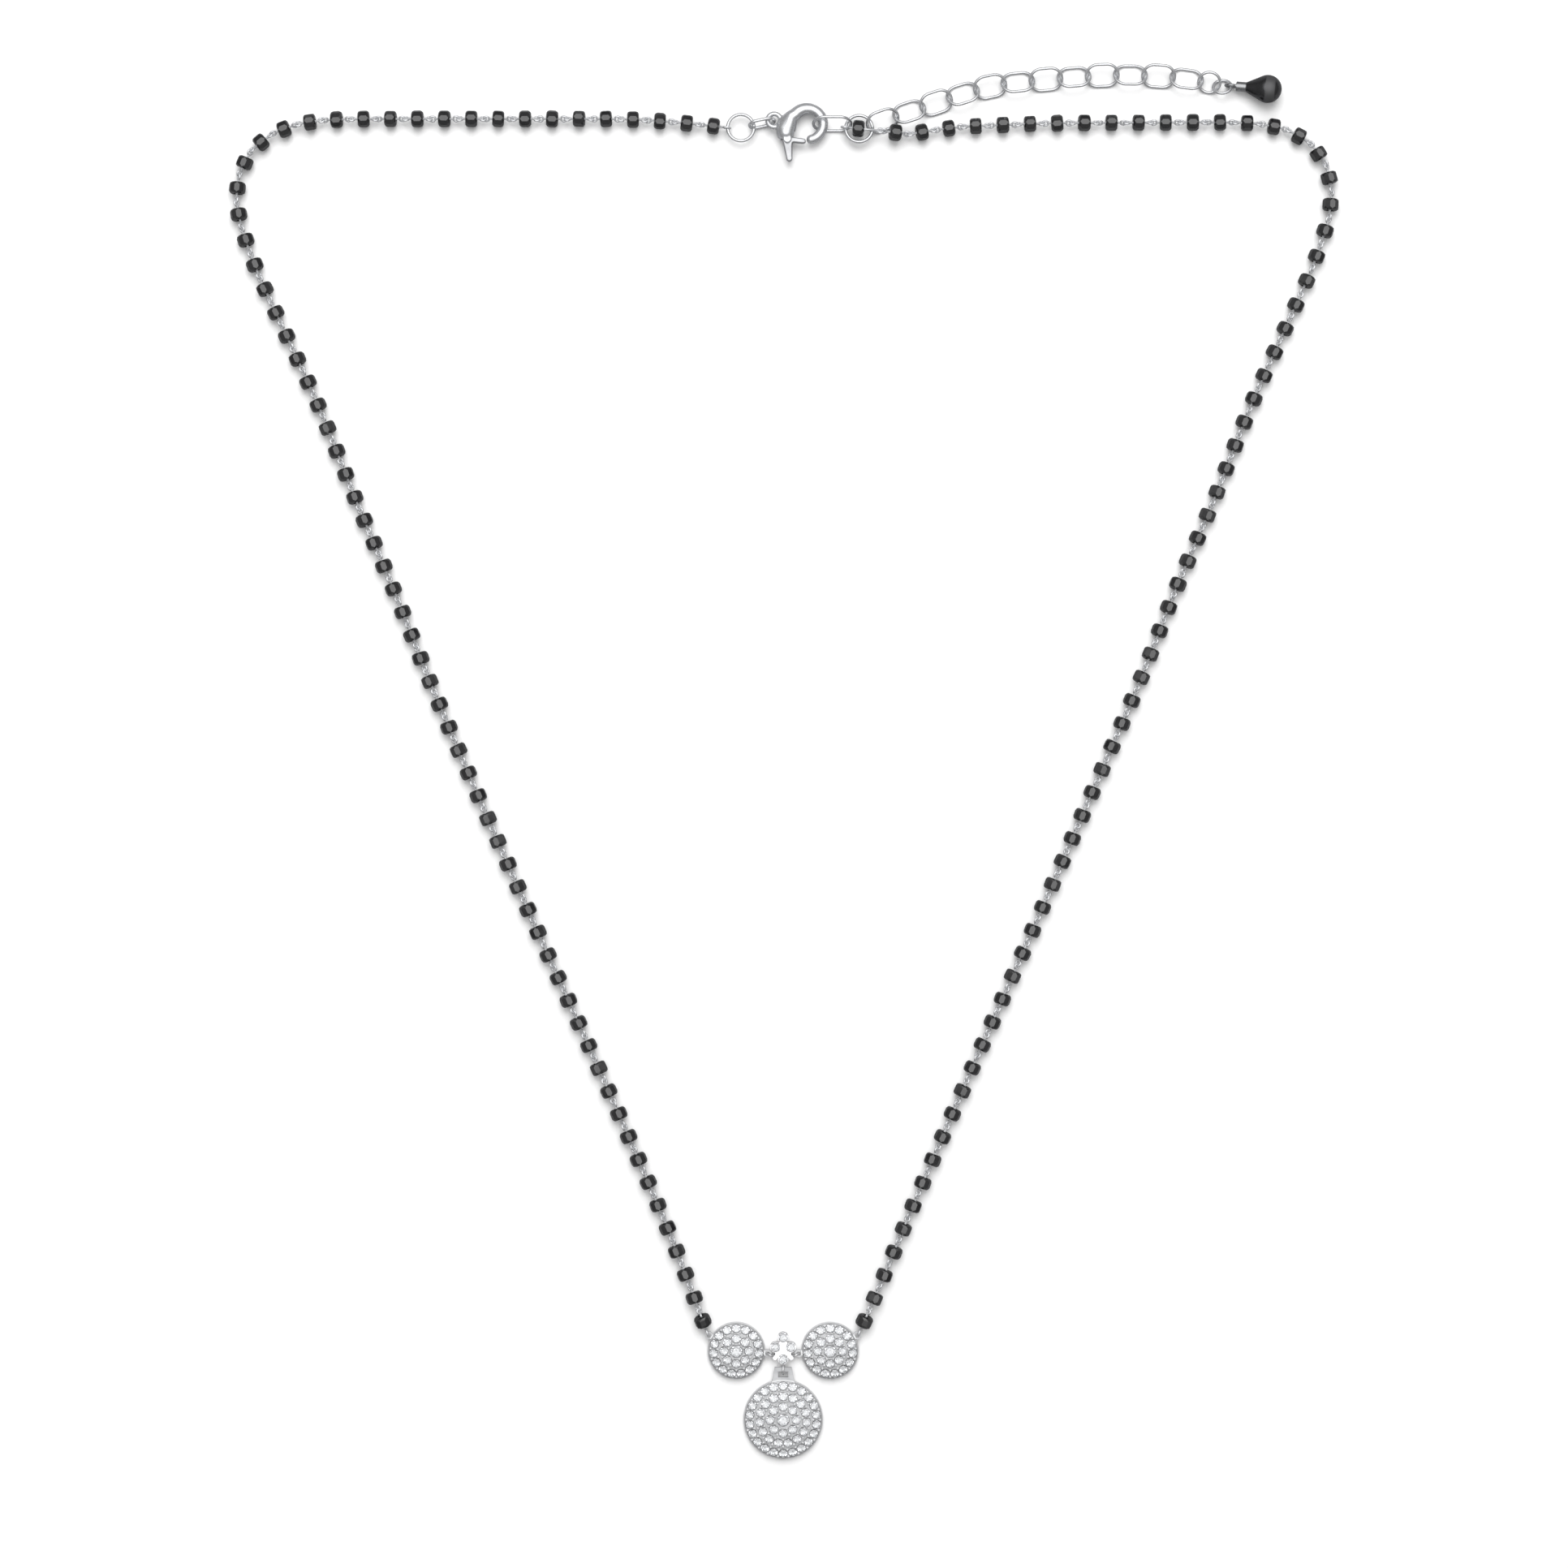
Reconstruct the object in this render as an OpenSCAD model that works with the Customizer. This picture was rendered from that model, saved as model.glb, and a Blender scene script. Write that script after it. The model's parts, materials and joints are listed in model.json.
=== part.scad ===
// Mangalsutra: a black bead necklace with a pendant of three stone set discs.
// It lies on its back on the plane z = 0, with the clasp towards +Y. Millimetres.

/* [Bead strings] */
// Diameter of a bead
bead_d = 2; // [1.8:0.05:2.2]
// Length of a bead along its string
bead_len = 1.4; // [1.2:0.05:1.5]
// Bevel round both ends of a bead
bead_bevel = 0.3; // [0.2:0.05:0.4]
// Diameter of the hole through a bead
bead_hole_d = 0.7; // [0.6:0.05:0.8]
// Diameter of the wire that carries the beads
wire_d = 0.3; // [0.2:0.05:0.35]
// Distance from bead to bead behind the neck
back_pitch = 3.2; // [3.1:0.05:3.4]
// Distance from bead to bead down the sides
side_pitch = 2.95; // [2.85:0.05:3.1]

/* [Stones] */
// Diameter of the small cut stones
stone_d = 1; // [0.8:0.05:1.1]
// Diameter of the stone in the middle of each disc
centre_stone_d = 1.4; // [1:0.05:1.6]
// Diameter of a stone of the cluster
cluster_stone_d = 1.05; // [0.8:0.05:1.1]
// Distance between the stones of a row
stone_gap = 0.11; // [0.1:0.01:0.2]
// Distance between two rows of stones
row_gap = 0.2; // [0.12:0.01:0.25]
// Clearance round a stone in its seat
seat_gap = 0.04; // [0.02:0.01:0.05]
// Height of a stone's girdle over the metal
stone_lift = 0.08; // [0.05:0.01:0.12]

/* [Discs] */
// Diameter of the main disc
main_disc_d = 9.4; // [8:0.1:11]
// Diameter of a small disc
small_disc_d = 6.8; // [6:0.1:8]
// Width of the bare rim outside the stones
disc_rim = 0.22; // [0.2:0.01:0.4]
// Thickness of a disc at its edge
disc_edge_t = 0.95; // [0.85:0.05:1.2]
// Rise of the main disc's dome
main_crown = 0.45; // [0.2:0.05:0.7]
// Rise of a small disc's dome
small_crown = 0.35; // [0.2:0.05:0.6]
// Length of the main disc's neck, from its top bar to the disc
neck_len = 1.26; // [1.2:0.02:1.8]
// Width of the neck at its top
neck_top_w = 2; // [1.8:0.1:2.4]
// Width of the neck where it meets the disc
neck_foot_w = 2.8; // [2.6:0.1:3.4]
// Thickness of the neck
neck_t = 0.5; // [0.4:0.02:0.54]
// Width of the slot in the neck
slot_w = 1.2; // [1:0.05:1.3]
// Height of the slot in the neck
slot_h = 0.7; // [0.65:0.02:0.8]

/* [Cluster] */
// Radius of a cup round its stone
cup_r = 0.62; // [0.6:0.01:0.64]
// Height of a cup
cup_h = 0.95; // [0.9:0.05:1.1]
// Diameter of the wire of the cluster's rings
eye_wire_d = 0.22; // [0.18:0.02:0.24]
// Radius of the side rings, to the middle of the wire
side_eye_r = 0.4; // [0.38:0.01:0.44]
// Radius of the bottom ring, to the middle of the wire
bottom_eye_r = 0.58; // [0.56:0.01:0.62]
// Radius of the hole in a disc's ear
ear_hole_r = 0.27; // [0.25:0.01:0.28]
// Width of the metal round an ear's hole
ear_wall = 0.2; // [0.18:0.01:0.22]
// Thickness of an ear
ear_t = 0.3; // [0.26:0.01:0.32]

/* [Chain and rings] */
// Distance from link to link of the extender
link_pitch = 3.34; // [3.2:0.02:3.6]
// Diameter of the wire of a link
link_wire_d = 0.35; // [0.3:0.01:0.38]
// Width of a link
link_w = 3.1; // [2.9:0.05:3.3]
// Play between two linked links
link_play = 0.12; // [0.1:0.01:0.2]
// Roll of a link about the chain's line
link_roll = 30; // [24:1:36]
// Diameter of the round link that ends the chain
end_link_d = 2.9; // [2.7:0.05:3.1]
// Diameter of the ring that carries the end drop
drop_ring_d = 2.5; // [2.3:0.05:2.8]
// Diameter of the ring at the left string's end
clasp_ring_d = 3.5; // [3:0.05:4.5]
// Diameter of the wire of the bigger rings
ring_wire_d = 0.38; // [0.34:0.01:0.4]
// Diameter of the ring that joins the right string and the extender
end_ring_d = 3.55; // [3.5:0.05:4.2]
// Length of the link between the first ring and the clasp
clasp_link_len = 3.35; // [3:0.05:5]
// Width of that link
clasp_link_w = 2; // [1.9:0.05:2.6]
// Length of the link that the hook holds
hook_link_len = 4.8; // [4.6:0.05:6]
// Diameter of the end drop
drop_d = 3.3; // [2.8:0.05:3.6]
// Length of the end drop beyond its loop
drop_len = 5.4; // [4.8:0.05:6]
// Length of the drop's straight collar
drop_collar_len = 1.2; // [0.8:0.05:1.4]
// Diameter of the drop's collar
drop_collar_d = 1.16; // [1:0.02:1.3]

/* [Clasp] */
// Radius of the hook, to the middle of its stock
hook_r = 1.85; // [1.75:0.01:2]
// Thickness of the hook's stock
hook_stock_d = 1.22; // [1:0.02:1.3]
// Thickness of the clasp's bulb
bulb_d = 2.3; // [2.2:0.05:2.4]
// Radius of the tail ring, to the middle of its stock
tail_r = 0.78; // [0.74:0.01:0.84]
// Thickness of the tail ring's stock
tail_stock_d = 0.6; // [0.5:0.02:0.66]
// Diameter of the lever's pin
pin_d = 0.5; // [0.4:0.05:0.55]
// Clearance of the lever round its pin
pin_gap = 0.06; // [0.04:0.01:0.08]
// Thickness of the lever
lever_t = 0.9; // [0.8:0.05:1]
// Clearance of the lever in its slot
lever_gap = 0.1; // [0.08:0.01:0.14]
// Width of the lever's arm
lever_w = 0.64; // [0.56:0.02:0.66]

/* [Hidden] */
$fn = 48;

// Pendant
cluster_centre = [0, -69.46];
cup_centres = [[0, 1.25], [0.92, 0.1], [0, -1.3], [-0.92, 0.1]];
side_lug = [0.95, -1.12];
side_lug_r = 0.27;
side_eye_angle = -30;
// How deep a ring's wire is soldered into its lug
solder_lap = 0.02;
ear_z = 0.8;
ear_r = ear_hole_r + ear_wall;
ear_reach = 0.3;
ear_angle = -4;
string_ear_angle = 150;
ring_lift = 0.05;
bottom_eye_z = bottom_eye_r + eye_wire_d / 2 + ring_lift;
// The far side of a side ring meets its lug, and its near side threads the disc's ear
side_eye_dir = [cos(side_eye_angle), sin(side_eye_angle)];
side_eye_centre = [-side_lug[0], side_lug[1]] - (side_eye_r + side_lug_r - solder_lap) * side_eye_dir;
left_ear = cluster_centre + side_eye_centre - side_eye_r * side_eye_dir;
disc_offset = small_disc_d / 2 + ear_reach;
left_disc_centre = left_ear - disc_offset * [cos(ear_angle), sin(ear_angle)];
right_disc_centre = [-left_disc_centre[0], left_disc_centre[1]];
left_ear_out = left_disc_centre + disc_offset * [cos(string_ear_angle), sin(string_ear_angle)];
// The bottom ring is soldered to the lowest cup and holds the bar above the neck's slot
bar_w = 0.49;
bottom_eye_y = cluster_centre[1] + cup_centres[2][1] - cup_r - bottom_eye_r;
bar_y = bottom_eye_y;
main_disc_centre = [0, bar_y - neck_len - main_disc_d / 2];

// Bead strings: a few chosen points of each string's line, from the clasp to the pendant
string_z = bead_d / 2;
LEFT_ROUTE = [
  [-11.5, 75.5], [-18, 75.95], [-26.5, 76], [-35, 76], [-44, 76], [-52.5, 75.95], [-56.1, 75.65],
  [-59.2, 74.85], [-61.9, 73.3], [-63.9, 70.9], [-64.65, 67.8], [-64.5, 64.6], [-62.5, 58.6], [-60, 53],
  [-55, 42.1], [-50.6, 31], [-46, 20.1], [-41.7, 9.2], [-36, -4.3], [-28.9, -20.5], [-21.7, -36.6],
  [-14.65, -52.9], [-11.4, -61.1]
];
RIGHT_ROUTE = [
  [20, 75], [26.5, 75.3], [32.6, 75.5], [42, 75.55], [51.5, 75.6], [55.3, 75.5],
  [58.5, 75.1], [61.4, 73.9], [63.7, 71.7], [64.8, 68.5], [64.8, 65.2], [62.9, 59.1], [60.4, 53.4],
  [55.4, 42.2], [51, 31], [46.4, 20.2], [42.1, 9.2], [36.3, -4.3], [29.3, -20.5], [22.2, -36.7],
  [15.2, -53], [11.8, -61.2]
];

// Clasp, with its points in its own frame, and the rings beside it
clasp_tail = [-1.06, 75.8];
clasp_z = bulb_d / 2;
hook_centre = [3.95, -0.45];
hook_tip_angle = -74;
hook_root_angle = 140;
bulb_centre = [1.4, -1.45];
shoulder_centre = [2, 0.6];
shoulder_r = 0.8;
pivot = [1.55, -2.25];
edge_inset = 0.02;
slot_rise_share = 0.6;
claw_sides = 16;
wire_sides = 10;
tail_ring_steps = 28;
hook_steps = 12;
hook_root_swell = 1.25;
hook_swell_end = 0.35;
hook_tip_taper = 0.9;
pin_seat_gap = 0.02;
pin_end_gap = 0.02;
// How deep each end of the pin sits in its cheek
pin_seat_depth = 0.2;
pin_len = lever_t + 2 * (lever_gap + pin_seat_depth);
tail_neck_r = 0.42;
lever_boss_r = 0.6;
lever_reach = 1.88;
slot_reach = lever_reach + lever_w / 2 + lever_gap;
lever_rest_angle = -7;
thumb_tip = [0.25, -2.25];
thumb_r = 0.38;
clasp_link_angle = 12;
clasp_link_roll = 68;
clasp_link_dir = [cos(clasp_link_angle), sin(clasp_link_angle)];
clasp_link_rise = 0.1;
clasp_link_z = (clasp_link_w - ring_wire_d) / 2 * sin(clasp_link_roll) + ring_wire_d / 2 + clasp_link_rise;
ring_z = string_z;
clasp_ring_r = (clasp_ring_d - ring_wire_d) / 2;
clasp_ring_centre = clasp_tail
  - (clasp_link_len - 2 * ring_wire_d - link_play + clasp_ring_r) * clasp_link_dir;
// Free way in X between a wire and the one that it is linked with
hook_link_play = 0.38;
end_ring_play = 0.265;
first_link_play = 0.335;
link_len = link_pitch + 2 * link_wire_d + link_play;
hook_link_roll = 62;
hook_link_x = clasp_tail[0] + hook_centre[0] + hook_r - hook_stock_d / 2 - hook_link_play - link_wire_d
  + hook_link_len / 2;
hook_link_y = 75.36;
end_ring_r = (end_ring_d - ring_wire_d) / 2;
end_ring_x = hook_link_x + hook_link_len / 2 - link_wire_d - end_ring_play - ring_wire_d + end_ring_d / 2;
end_ring_y = 74.83;
end_ring_z = 1.17;
end_ring_tilt = -5.3;

// Extender: a few chosen points of the chain's line, from the second link on
first_link_shift = 0.96;
first_link_centre = [
  end_ring_x + end_ring_d / 2 - ring_wire_d - first_link_play - link_wire_d + link_len / 2,
  end_ring_y + first_link_shift
];
first_link_angle = 20;
first_link_roll = 41.5;
EXTENDER_ROUTE = [[17.4, 77.7], [24.4, 79.9], [31.3, 80.7], [38, 81.2], [44.8, 81.1], [51, 80.3]];
first_link_dir = [cos(first_link_angle), sin(first_link_angle)];
extender_count = 12;
function rolled_z(roll) = (link_w - link_wire_d) / 2 * sin(roll) + link_wire_d / 2;

function with_z(points, z) = [for (p = points) [p[0], p[1], z]];
function unit(v) = v / norm(v);
function last(list) = list[len(list) - 1];

// A smooth curve through the points, with steps pieces from each point to the next
function curve_at(p, i, t) =
  let (a = p[max(i - 1, 0)], b = p[i], c = p[i + 1], d = p[min(i + 2, len(p) - 1)])
  (2 * b + (c - a) * t + (2 * a - 5 * b + 4 * c - d) * t * t + (3 * b - a - 3 * c + d) * t * t * t) / 2;
function smooth(p, steps = 8) =
  [for (i = [0 : len(p) - 2], k = [0 : steps - 1]) curve_at(p, i, k / steps), last(p)];
// Distance along a line up to each of its points
function distances(p) = [
  for (i = 0, s = 0; i < len(p); i = i + 1, s = i < len(p) ? s + norm(p[i] - p[i - 1]) : s) s
];
function point_along(p, at, s) =
  let (
    i = max([for (k = [0 : len(p) - 2]) at[k] <= s ? k : 0]),
    t = (s - at[i]) / (at[i + 1] - at[i])
  )
  p[i] + (p[i + 1] - p[i]) * t;
function spread(p, stops) = let (at = distances(p)) [for (s = stops) point_along(p, at, s)];

// Stops along a string: wide apart behind the neck, closer down the sides, fitted to its whole length
ease_from = 62;
ease_to = 90;
function pitch_after(s) = lookup(s, [[ease_from, back_pitch], [ease_to, side_pitch]]);
function stops(total, first) =
  let (
    raw = [
      for (i = 0, s = 0; s < total + side_pitch / 2; s = s + (i == 0 ? first : pitch_after(s)), i = i + 1) s
    ]
  )
  [for (s = raw) s * total / last(raw)];
// The last two joints come down to the ear of the disc
last_bead_lift = 0.07;
last_joint_z = 2 * (string_z + last_bead_lift) - ear_z;
function settle(joints) =
  let (n = len(joints))
  [for (i = [0 : n - 1])
    [joints[i][0], joints[i][1], i == n - 1 ? ear_z : i == n - 2 ? last_joint_z : joints[i][2]]];
function string_joints(route, first) =
  let (line = smooth(route))
  settle(spread(line, stops(last(distances(line)), first)));

end_eye_r = 0.42;
start_shift = 0.1;
string_start_left = [clasp_ring_centre[0] - clasp_ring_r - start_shift, clasp_ring_centre[1], ring_z];
string_start_right = [end_ring_x - end_ring_d / 2 + start_shift, end_ring_y + start_shift, 1.5 * string_z];
string_end_angle = 125;
string_end_left = left_ear_out + end_eye_r * [cos(string_end_angle), sin(string_end_angle)];
string_end_right = [-string_end_left[0], string_end_left[1]];
first_pin_right = 4.4;
raised = [[11.7, 74.5, 1.6 * string_z], [14.6, 74.15, 1.12 * string_z], [17.5, 74.6, string_z]];
left_joints = string_joints(
  concat([string_start_left], with_z(LEFT_ROUTE, string_z), with_z([string_end_left], string_z)), back_pitch
);
right_joints = string_joints(
  concat([string_start_right], raised, with_z(RIGHT_ROUTE, string_z), with_z([string_end_right], string_z)),
  first_pin_right
);

extender_line = smooth(concat([first_link_centre + link_pitch / 2 * first_link_dir], EXTENDER_ROUTE));
extender_joints = concat(
  [first_link_centre - link_pitch / 2 * first_link_dir],
  spread(extender_line, [for (i = [0 : extender_count - 1]) i * link_pitch])
);
link_lap = (link_wire_d + link_play) / 2;
end_link_r = (end_link_d - link_wire_d) / 2;
end_link_angle = -10;
end_link_centre = last(extender_joints)
  + (end_link_r - link_lap) * [cos(end_link_angle), sin(end_link_angle)];
drop_ring_r = (drop_ring_d - link_wire_d) / 2;
drop_ring_bearing = -19;
drop_ring_slack = 0.25;
drop_ring_angle = 11;
drop_ring_roll = 37.5;
drop_ring_shift = end_link_r + drop_ring_r - 2 * link_lap - drop_ring_slack;
drop_ring_centre = end_link_centre + drop_ring_shift * [cos(drop_ring_bearing), sin(drop_ring_bearing)];
drop_loop_wire_d = 0.36;
drop_loop_r = 0.62;
drop_loop_bearing = 6;
drop_loop_slack = 0.045;
drop_loop_lift = 0.08;
drop_angle = -6.5;
drop_loop_centre = drop_ring_centre
  + (drop_ring_r - drop_loop_slack) * [cos(drop_loop_bearing), sin(drop_loop_bearing)];

// Places children at centre with their Z axis along the direction
module aim(centre, direction) {
  translate(centre)
    rotate([0, acos(direction[2] / norm(direction)), atan2(direction[1], direction[0])])
      children();
}

// A closed link of round wire in its own XY plane, with its long side along X
module link(len, width, wire) {
  r = (width - wire) / 2;
  straight = len - width;
  for (turn = [0, 180])
    rotate([0, 0, turn]) {
      translate([straight / 2, 0, 0])
        rotate([0, 0, -90])
          rotate_extrude(angle = 180)
            translate([r, 0])
              circle(d = wire);
      translate([-straight / 2, r, 0])
        rotate([0, 90, 0])
          cylinder(d = wire, h = straight);
    }
}

// A round ring of wire in its own XY plane
module ring(r, wire) {
  rotate_extrude()
    translate([r, 0])
      circle(d = wire);
}

// Beads
module bead() {
  r = bead_d / 2;
  h = bead_len / 2;
  rotate_extrude()
    polygon([
      [bead_hole_d / 2, -h], [r - bead_bevel, -h], [r, bead_bevel - h],
      [r, h - bead_bevel], [r - bead_bevel, h], [bead_hole_d / 2, h]
    ]);
}

module bead_string(joints) {
  color("#161618")
    for (i = [0 : len(joints) - 2]) {
      pin = joints[i + 1] - joints[i];
      aim(joints[i] + unit(pin) * min(norm(pin), back_pitch) / 2, pin)
        bead();
    }
}

// A wire swept through the points, with eight sides
module swept_wire(points, d) {
  sides = 8;
  n = len(points);
  function heading(i) = unit(points[min(i + 1, n - 1)] - points[max(i - 1, 0)]);
  function section(i) =
    let (along = heading(i), across = unit(cross(along, [0, 0, 1])), up = cross(across, along))
    [for (k = [0 : sides - 1])
      let (turn = 360 * k / sides)
      points[i] + d / 2 * (cos(turn) * across + sin(turn) * up)];
  polyhedron(
    points = [for (i = [0 : n - 1]) each section(i)],
    faces = concat(
      [[for (k = [0 : sides - 1]) k]],
      [for (i = [0 : n - 2], k = [0 : sides - 1])
        let (here = i * sides, ahead = here + sides, next = (k + 1) % sides)
        [here + k, ahead + k, ahead + next, here + next]],
      [[for (k = [sides - 1 : -1 : 0]) (n - 1) * sides + k]]
    )
  );
}

left_start_gap = 0.5;
right_start_gap = 1.1;
wire_end_gap = 0.3;
module string_wire(joints, start_gap) {
  n = len(joints);
  start = joints[0] + start_gap * unit(joints[1] - joints[0]);
  end = joints[n - 1] + wire_end_gap * unit(joints[n - 2] - joints[n - 1]);
  color("#c8ccd2")
    swept_wire(concat([start], [for (i = [1 : n - 2]) joints[i]], [end]), wire_d);
}

// Stones
table_share = 0.56;
crown_share = 0.15;
girdle_share = 0.05;
pavilion_share = 0.4;
stone_sides = 8;
module cut_stone(d) {
  n = stone_sides;
  function corner(r, z, half) =
    [for (k = [0 : n - 1]) [r * cos((k + half) * 360 / n), r * sin((k + half) * 360 / n), z]];
  color("#eef2f6")
    polyhedron(
      points = concat(
        corner(d / 2 * table_share, d * (girdle_share / 2 + crown_share), 0.5),
        corner(d / 2, d * girdle_share / 2, 0),
        corner(d / 2, -d * girdle_share / 2, 0),
        [[0, 0, -d * (girdle_share / 2 + pavilion_share)]]
      ),
      faces = concat(
        [[for (k = [n - 1 : -1 : 0]) k]],
        [for (k = [0 : n - 1]) [k, n + (k + 1) % n, n + k]],
        [for (k = [0 : n - 1]) [k, (k + 1) % n, n + (k + 1) % n]],
        [for (k = [0 : n - 1]) [n + k, n + (k + 1) % n, 2 * n + (k + 1) % n, 2 * n + k]],
        [for (k = [0 : n - 1]) [2 * n + k, 2 * n + (k + 1) % n, 3 * n]]
      )
    );
}

function seat_depth(d) = d * (girdle_share / 2 + pavilion_share) + seat_gap;

// Rows of stones on a disc, from its rim inwards: radius of each row and its count
function row_radii(d) = [
  for (r = d / 2 - disc_rim - stone_d / 2;
    r > (centre_stone_d + stone_d) / 2 + stone_gap; r = r - stone_d - row_gap) r
];
function row_count(r) = floor(180 / asin((stone_d + stone_gap) / (2 * r)));
function dome_radius(d, crown) = let (a = d / 2 - disc_rim) (a * a + crown * crown) / (2 * crown);

// Puts children(0) at each small stone's place on the dome and children(1) in its middle
module on_dome(d, crown) {
  dome_r = dome_radius(d, crown);
  middle = disc_edge_t + crown - dome_r;
  for (r = row_radii(d))
    for (k = [0 : row_count(r) - 1])
      rotate([0, 0, 90 + 360 * k / row_count(r)])
        translate([0, 0, middle])
          rotate([0, asin(r / dome_r), 0])
            translate([0, 0, dome_r + stone_lift])
              children(0);
  translate([0, 0, disc_edge_t + crown + stone_lift])
    children(1);
}

module disc_stones(d, crown) {
  on_dome(d, crown) {
    cut_stone(stone_d);
    cut_stone(centre_stone_d);
  }
}

module seat(d) {
  depth = seat_depth(d);
  translate([0, 0, -depth])
    cylinder(r = d / 2 + seat_gap, h = depth + stone_d);
}

// How far the neck's foot reaches into the disc
neck_root = 0.6;
// The domed blank with its rounded rim
rim_lip = 0.06;
module disc_blank(d, crown) {
  rim_r = (disc_edge_t + rim_lip) / 2;
  dome_r = dome_radius(d, crown);
  rotate_extrude() {
    intersection() {
      translate([0, disc_edge_t + crown - dome_r])
        circle(dome_r);
      square([d / 2 - rim_r, disc_edge_t + crown]);
    }
    translate([d / 2 - rim_r, rim_r])
      circle(rim_r);
  }
}

module ear(centre) {
  translate([centre[0], centre[1], ear_z - ear_t / 2])
    difference() {
      cylinder(r = ear_r, h = ear_t);
      translate([0, 0, -ear_t])
        cylinder(r = ear_hole_r, h = 3 * ear_t);
    }
}

// Discs
module neck() {
  top = bar_y + bar_w / 2 - main_disc_centre[1];
  foot = main_disc_d / 2 - neck_root;
  translate([0, 0, bottom_eye_z - neck_t / 2])
    linear_extrude(neck_t)
      difference() {
        polygon([
          [-neck_foot_w / 2, foot], [neck_foot_w / 2, foot], [neck_top_w / 2, top], [-neck_top_w / 2, top]
        ]);
        translate([-slot_w / 2, top - bar_w - slot_h])
          square([slot_w, slot_h]);
      }
}

module main_disc() {
  color("#b9bdc3")
    translate([main_disc_centre[0], main_disc_centre[1], 0])
      difference() {
        union() {
          disc_blank(main_disc_d, main_crown);
          neck();
        }
        on_dome(main_disc_d, main_crown) {
          seat(stone_d);
          seat(centre_stone_d);
        }
      }
}

module small_disc(centre, side) {
  string_ear = disc_offset * [side * cos(string_ear_angle), sin(string_ear_angle)];
  cluster_ear = disc_offset * [side * cos(ear_angle), sin(ear_angle)];
  color("#b9bdc3")
    translate([centre[0], centre[1], 0])
      union() {
        difference() {
          disc_blank(small_disc_d, small_crown);
          on_dome(small_disc_d, small_crown) {
            seat(stone_d);
            seat(centre_stone_d);
          }
        }
        ear(string_ear);
        ear(cluster_ear);
      }
}

module main_disc_stones() {
  translate([main_disc_centre[0], main_disc_centre[1], 0])
    disc_stones(main_disc_d, main_crown);
}

module small_disc_stones(centre) {
  translate([centre[0], centre[1], 0])
    disc_stones(small_disc_d, small_crown);
}

// Cluster: four cups on a plate, a lug with a side ring left and right, and a ring at the bottom
plate_t = 0.7;
module cluster_setting() {
  color("#c3c7cd")
    translate([cluster_centre[0], cluster_centre[1], 0])
      difference() {
        union() {
          for (c = cup_centres)
            translate([c[0], c[1], 0])
              cylinder(r = cup_r, h = cup_h);
          linear_extrude(plate_t)
            polygon([
              cup_centres[0], [-cup_centres[1][0], cup_centres[1][1]], [-side_lug[0], side_lug[1]],
              cup_centres[2], side_lug, cup_centres[1]
            ]);
          for (side = [-1, 1]) {
            translate([side * side_lug[0], side_lug[1], 0])
              cylinder(r = side_lug_r, h = ear_z + eye_wire_d);
            translate([-side * side_eye_centre[0], side_eye_centre[1], ear_z])
              rotate([90, 0, -side * side_eye_angle])
                ring(side_eye_r, eye_wire_d);
          }
          translate([0, bottom_eye_y - cluster_centre[1], bottom_eye_z])
            rotate([90, 0, 90])
              ring(bottom_eye_r, eye_wire_d);
        }
        for (c = cup_centres)
          translate([c[0], c[1], cup_h + stone_lift])
            seat(cluster_stone_d);
      }
}

module cluster_stones() {
  translate([cluster_centre[0], cluster_centre[1], cup_h + stone_lift])
    for (c = cup_centres)
      translate([c[0], c[1], 0])
        cut_stone(cluster_stone_d);
}

// Rings and links between the clasp and the strings
module clasp_ring() {
  color("#c3c7cd")
    translate([clasp_ring_centre[0], clasp_ring_centre[1], ring_z])
      ring(clasp_ring_r, ring_wire_d);
}

module clasp_link() {
  middle = clasp_tail - (clasp_link_len - ring_wire_d) / 2 * clasp_link_dir;
  color("#c3c7cd")
    translate([middle[0], middle[1], clasp_link_z])
      rotate([clasp_link_roll, 0, clasp_link_angle])
        link(clasp_link_len, clasp_link_w, ring_wire_d);
}

module hook_link() {
  color("#c3c7cd")
    translate([hook_link_x, hook_link_y, rolled_z(hook_link_roll)])
      rotate([hook_link_roll, 0, 0])
        link(hook_link_len, link_w, link_wire_d);
}

module end_ring() {
  color("#c3c7cd")
    translate([end_ring_x, end_ring_y, end_ring_z])
      rotate([end_ring_tilt, 0, 0])
        ring(end_ring_r, ring_wire_d);
}

// Extender
module extender_link(i) {
  a = extender_joints[i];
  b = extender_joints[i + 1];
  roll = i == 0 ? first_link_roll : (i % 2 == 0 ? 1 : -1) * link_roll;
  middle = (a + b) / 2;
  color("#c3c7cd")
    translate([middle[0], middle[1], rolled_z(abs(roll))])
      rotate([roll, 0, atan2(b[1] - a[1], b[0] - a[0])])
        link(link_len, link_w, link_wire_d);
}

module extender_end_link() {
  color("#c3c7cd")
    translate([end_link_centre[0], end_link_centre[1], end_link_r * sin(link_roll) + link_wire_d / 2])
      rotate([link_roll, 0, end_link_angle])
        ring(end_link_r, link_wire_d);
}

module drop_ring() {
  middle_z = drop_ring_r * sin(drop_ring_roll) + link_wire_d / 2;
  color("#c3c7cd")
    translate([drop_ring_centre[0], drop_ring_centre[1], middle_z])
      rotate([-drop_ring_roll, 0, drop_ring_angle])
        ring(drop_ring_r, link_wire_d);
}

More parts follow.
